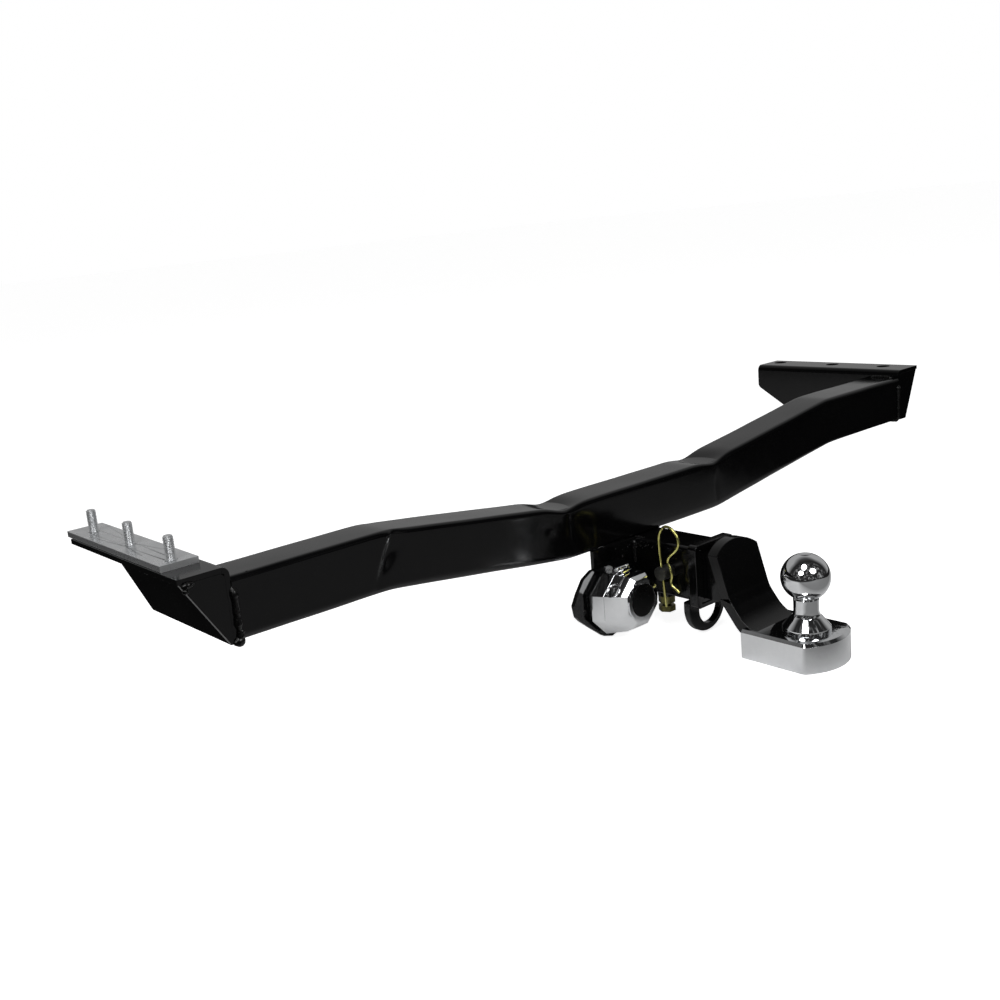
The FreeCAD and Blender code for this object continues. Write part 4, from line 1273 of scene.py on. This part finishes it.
# ---------------------------------------------------------------- studio
@dataclass(frozen=True)
class Studio:
    """Camera, lights, floor and surroundings.

    Attributes:
        place: Place of the camera.
        yaw: Camera's heading, in degrees from +Y towards +X.
        pitch: Camera's tilt above the level, in degrees.
        roll: Camera's turn about its line of sight, in degrees.
        lens: Focal length in millimetres.
        shift: Shift of the frame, in frame widths.
        target: Point that the lamps are aimed at.
        floor_gap: Gap between the lowest piece and the floor.
        floor_reach: Half width of the floor.
        floor_glow: Light that the floor adds of itself, for the camera only.
    """

    place: tuple = (-0.9785, -0.8775, 0.2722)
    yaw: float = 36.85
    pitch: float = -13.55
    roll: float = -5.99
    lens: float = 41.55
    shift: tuple = (0.0775, 0.001)
    target: tuple = (0.0, -0.15, -0.1)
    floor_gap: float = 0.0005
    floor_reach: float = 30.0
    floor_glow: float = 0.86

    def camera(self) -> None:
        """Camera with its heading given by yaw, pitch and roll."""
        yaw, pitch, roll = (math.radians(a) for a in (self.yaw, self.pitch, self.roll))
        ahead = Vector((math.sin(yaw) * math.cos(pitch), math.cos(yaw) * math.cos(pitch), math.sin(pitch)))
        right = Vector((math.cos(yaw), -math.sin(yaw), 0))
        up = right.cross(ahead)
        level_x = right * math.cos(roll) + up * math.sin(roll)
        level_y = up * math.cos(roll) - right * math.sin(roll)
        lens = bpy.data.cameras.new("camera")
        lens.lens = self.lens
        lens.shift_x, lens.shift_y = self.shift
        lens.clip_start = 0.02
        lens.clip_end = 60
        holder = bpy.data.objects.new("camera", lens)
        turned = Matrix((level_x, level_y, -ahead)).transposed().to_4x4()
        holder.matrix_world = Matrix.Translation(self.place) @ turned
        bpy.context.scene.collection.objects.link(holder)
        bpy.context.scene.camera = holder

    def lamp(self, name: str, place: tuple, size: tuple, power: float) -> None:
        """Adds a soft oval lamp aimed at the target.

        Args:
            name: Name of the lamp.
            place: Place of the lamp.
            size: Width and height of the lamp.
            power: Power in watts.
        """
        light = bpy.data.lights.new(name, "AREA")
        light.shape = "ELLIPSE"
        light.size, light.size_y = size
        light.energy = power
        holder = bpy.data.objects.new(name, light)
        holder.location = place
        holder.rotation_mode = "QUATERNION"
        holder.rotation_quaternion = (Vector(self.target) - Vector(place)).to_track_quat("-Z", "Y")
        bpy.context.scene.collection.objects.link(holder)

    def surroundings(self) -> None:
        """White for the eye; for light and reflections a dim room with one pale side."""
        world = bpy.data.worlds.new("studio")
        world.use_nodes = True
        bpy.context.scene.world = world
        world.node_tree.nodes.clear()
        graph = Graph(world.node_tree)
        heading = graph.add("TexCoord").outputs["Generated"]
        parts = graph.add("SeparateXYZ", Vector=heading)
        forward = graph.maths("MULTIPLY", parts.outputs[1], 0.78)
        ahead = graph.maths("MULTIPLY_ADD", parts.outputs[0], 0.62, forward)
        pale = graph.span(ahead, 0.08, 0.42)
        below_roof = graph.span(parts.outputs[2], 0.72, 0.93, 0.34, 0.05)
        clutter = graph.add("TexNoise", Vector=heading, Scale=6.0, Detail=2.0, Roughness=0.6).outputs[0]
        objects = graph.maths("MULTIPLY", graph.span(clutter, 0.50, 0.72, 0.0, 0.4),
                              graph.span(ahead, 0.0, -0.4))
        level = graph.maths("MULTIPLY_ADD", pale, below_roof, graph.maths("ADD", objects, 0.02))
        room = graph.add("Background", Color=(1, 1, 1, 1), Strength=level)
        seen = graph.add("Background", Color=(1, 1, 1, 1), Strength=1.0)
        eye = graph.add("LightPath").outputs["Is Camera Ray"]
        mixed = graph.add("MixShader")
        graph.feed(mixed.inputs[0], eye)
        graph.feed(mixed.inputs[1], room.outputs[0])
        graph.feed(mixed.inputs[2], seen.outputs[0])
        out = graph.add("OutputWorld")
        graph.feed(out.inputs["Surface"], mixed.outputs[0])

    def floor(self) -> None:
        """Pale floor just under the lowest piece; in reflections its colour carries painted light and shade:
        pale near the object only, dark away from it.
        """
        z, reach = CAD_BOX[0].z - self.floor_gap, self.floor_reach
        mesh = bpy.data.meshes.new("floor")
        mesh.from_pydata([(-reach, -reach, z), (reach, -reach, z), (reach, reach, z), (-reach, reach, z)], [],
                         [(0, 1, 2, 3)])
        plane = bpy.data.objects.new("floor", mesh)
        bpy.context.scene.collection.objects.link(plane)
        made = bpy.data.materials.new("pale_floor")
        made.use_nodes = True
        made.node_tree.nodes.clear()
        graph = Graph(made.node_tree)
        place = graph.add("TexCoord").outputs["Object"]
        patch = PATCHES.use(graph, Vector=place, Scale=3.0)["Mask"]
        pale = graph.blend(patch, (0.94, 0.94, 0.94, 1), (0.91, 0.91, 0.91, 1))
        paper = graph.add("BsdfDiffuse", Color=pale)
        glow = graph.add("Emission", Color=(1, 1, 1, 1), Strength=self.floor_glow)
        seen = graph.add("AddShader")
        graph.feed(seen.inputs[0], paper.outputs[0])
        graph.feed(seen.inputs[1], glow.outputs[0])
        parts = graph.add("SeparateXYZ", Vector=place)
        # Painted light and shade, seen only in reflections: the floor's colour is pale near the object and
        # falls to dark beyond these limits.
        left = graph.span(parts.outputs[0], -0.66, -0.46)
        right = graph.span(parts.outputs[0], 0.54, 0.64, 1.0, 0.0)
        between = graph.maths("MULTIPLY", left, right)
        near = graph.span(parts.outputs[1], -0.31, -0.21, 0.28, 0.86)
        level = graph.maths("MULTIPLY", between, near)
        shade = graph.blend(level, (0.03, 0.03, 0.03, 1), pale)
        mirrored = graph.add("BsdfDiffuse", Color=shade)
        paths = graph.add("LightPath")
        choice = graph.add("MixShader")
        graph.feed(choice.inputs[0], paths.outputs["Is Camera Ray"])
        graph.feed(choice.inputs[1], mirrored.outputs[0])
        graph.feed(choice.inputs[2], seen.outputs[0])
        out = graph.add("OutputMaterial")
        graph.feed(out.inputs["Surface"], choice.outputs[0])
        mesh.materials.append(made)

    def build(self) -> None:
        """Sets everything up."""
        self.camera()
        self.surroundings()
        self.floor()
        self.lamp("high_box", (-0.95, -0.60, 1.90), (0.85, 1.20), 16)
        self.lamp("left_box", (-1.95, -0.58, 1.15), (0.90, 0.90), 13)
        self.lamp("near_box", (-0.38, -1.98, 1.35), (1.10, 1.00), 18)
        bpy.context.scene.view_settings.view_transform = "Standard"


def main() -> None:
    """Builds the looks piece by piece."""
    for dressing in DRESSINGS:
        dressing.apply()
    for part in (BeamSkin(), Welds(), Studs(), TowBall(), Spatter(), LidBoss()):
        made = part.build()
        for piece in made if isinstance(made, list) else [made]:
            log.info("built %s with %d faces", piece.name, len(piece.data.polygons))
    Studio().build()


if __name__ == "__main__":
    main()
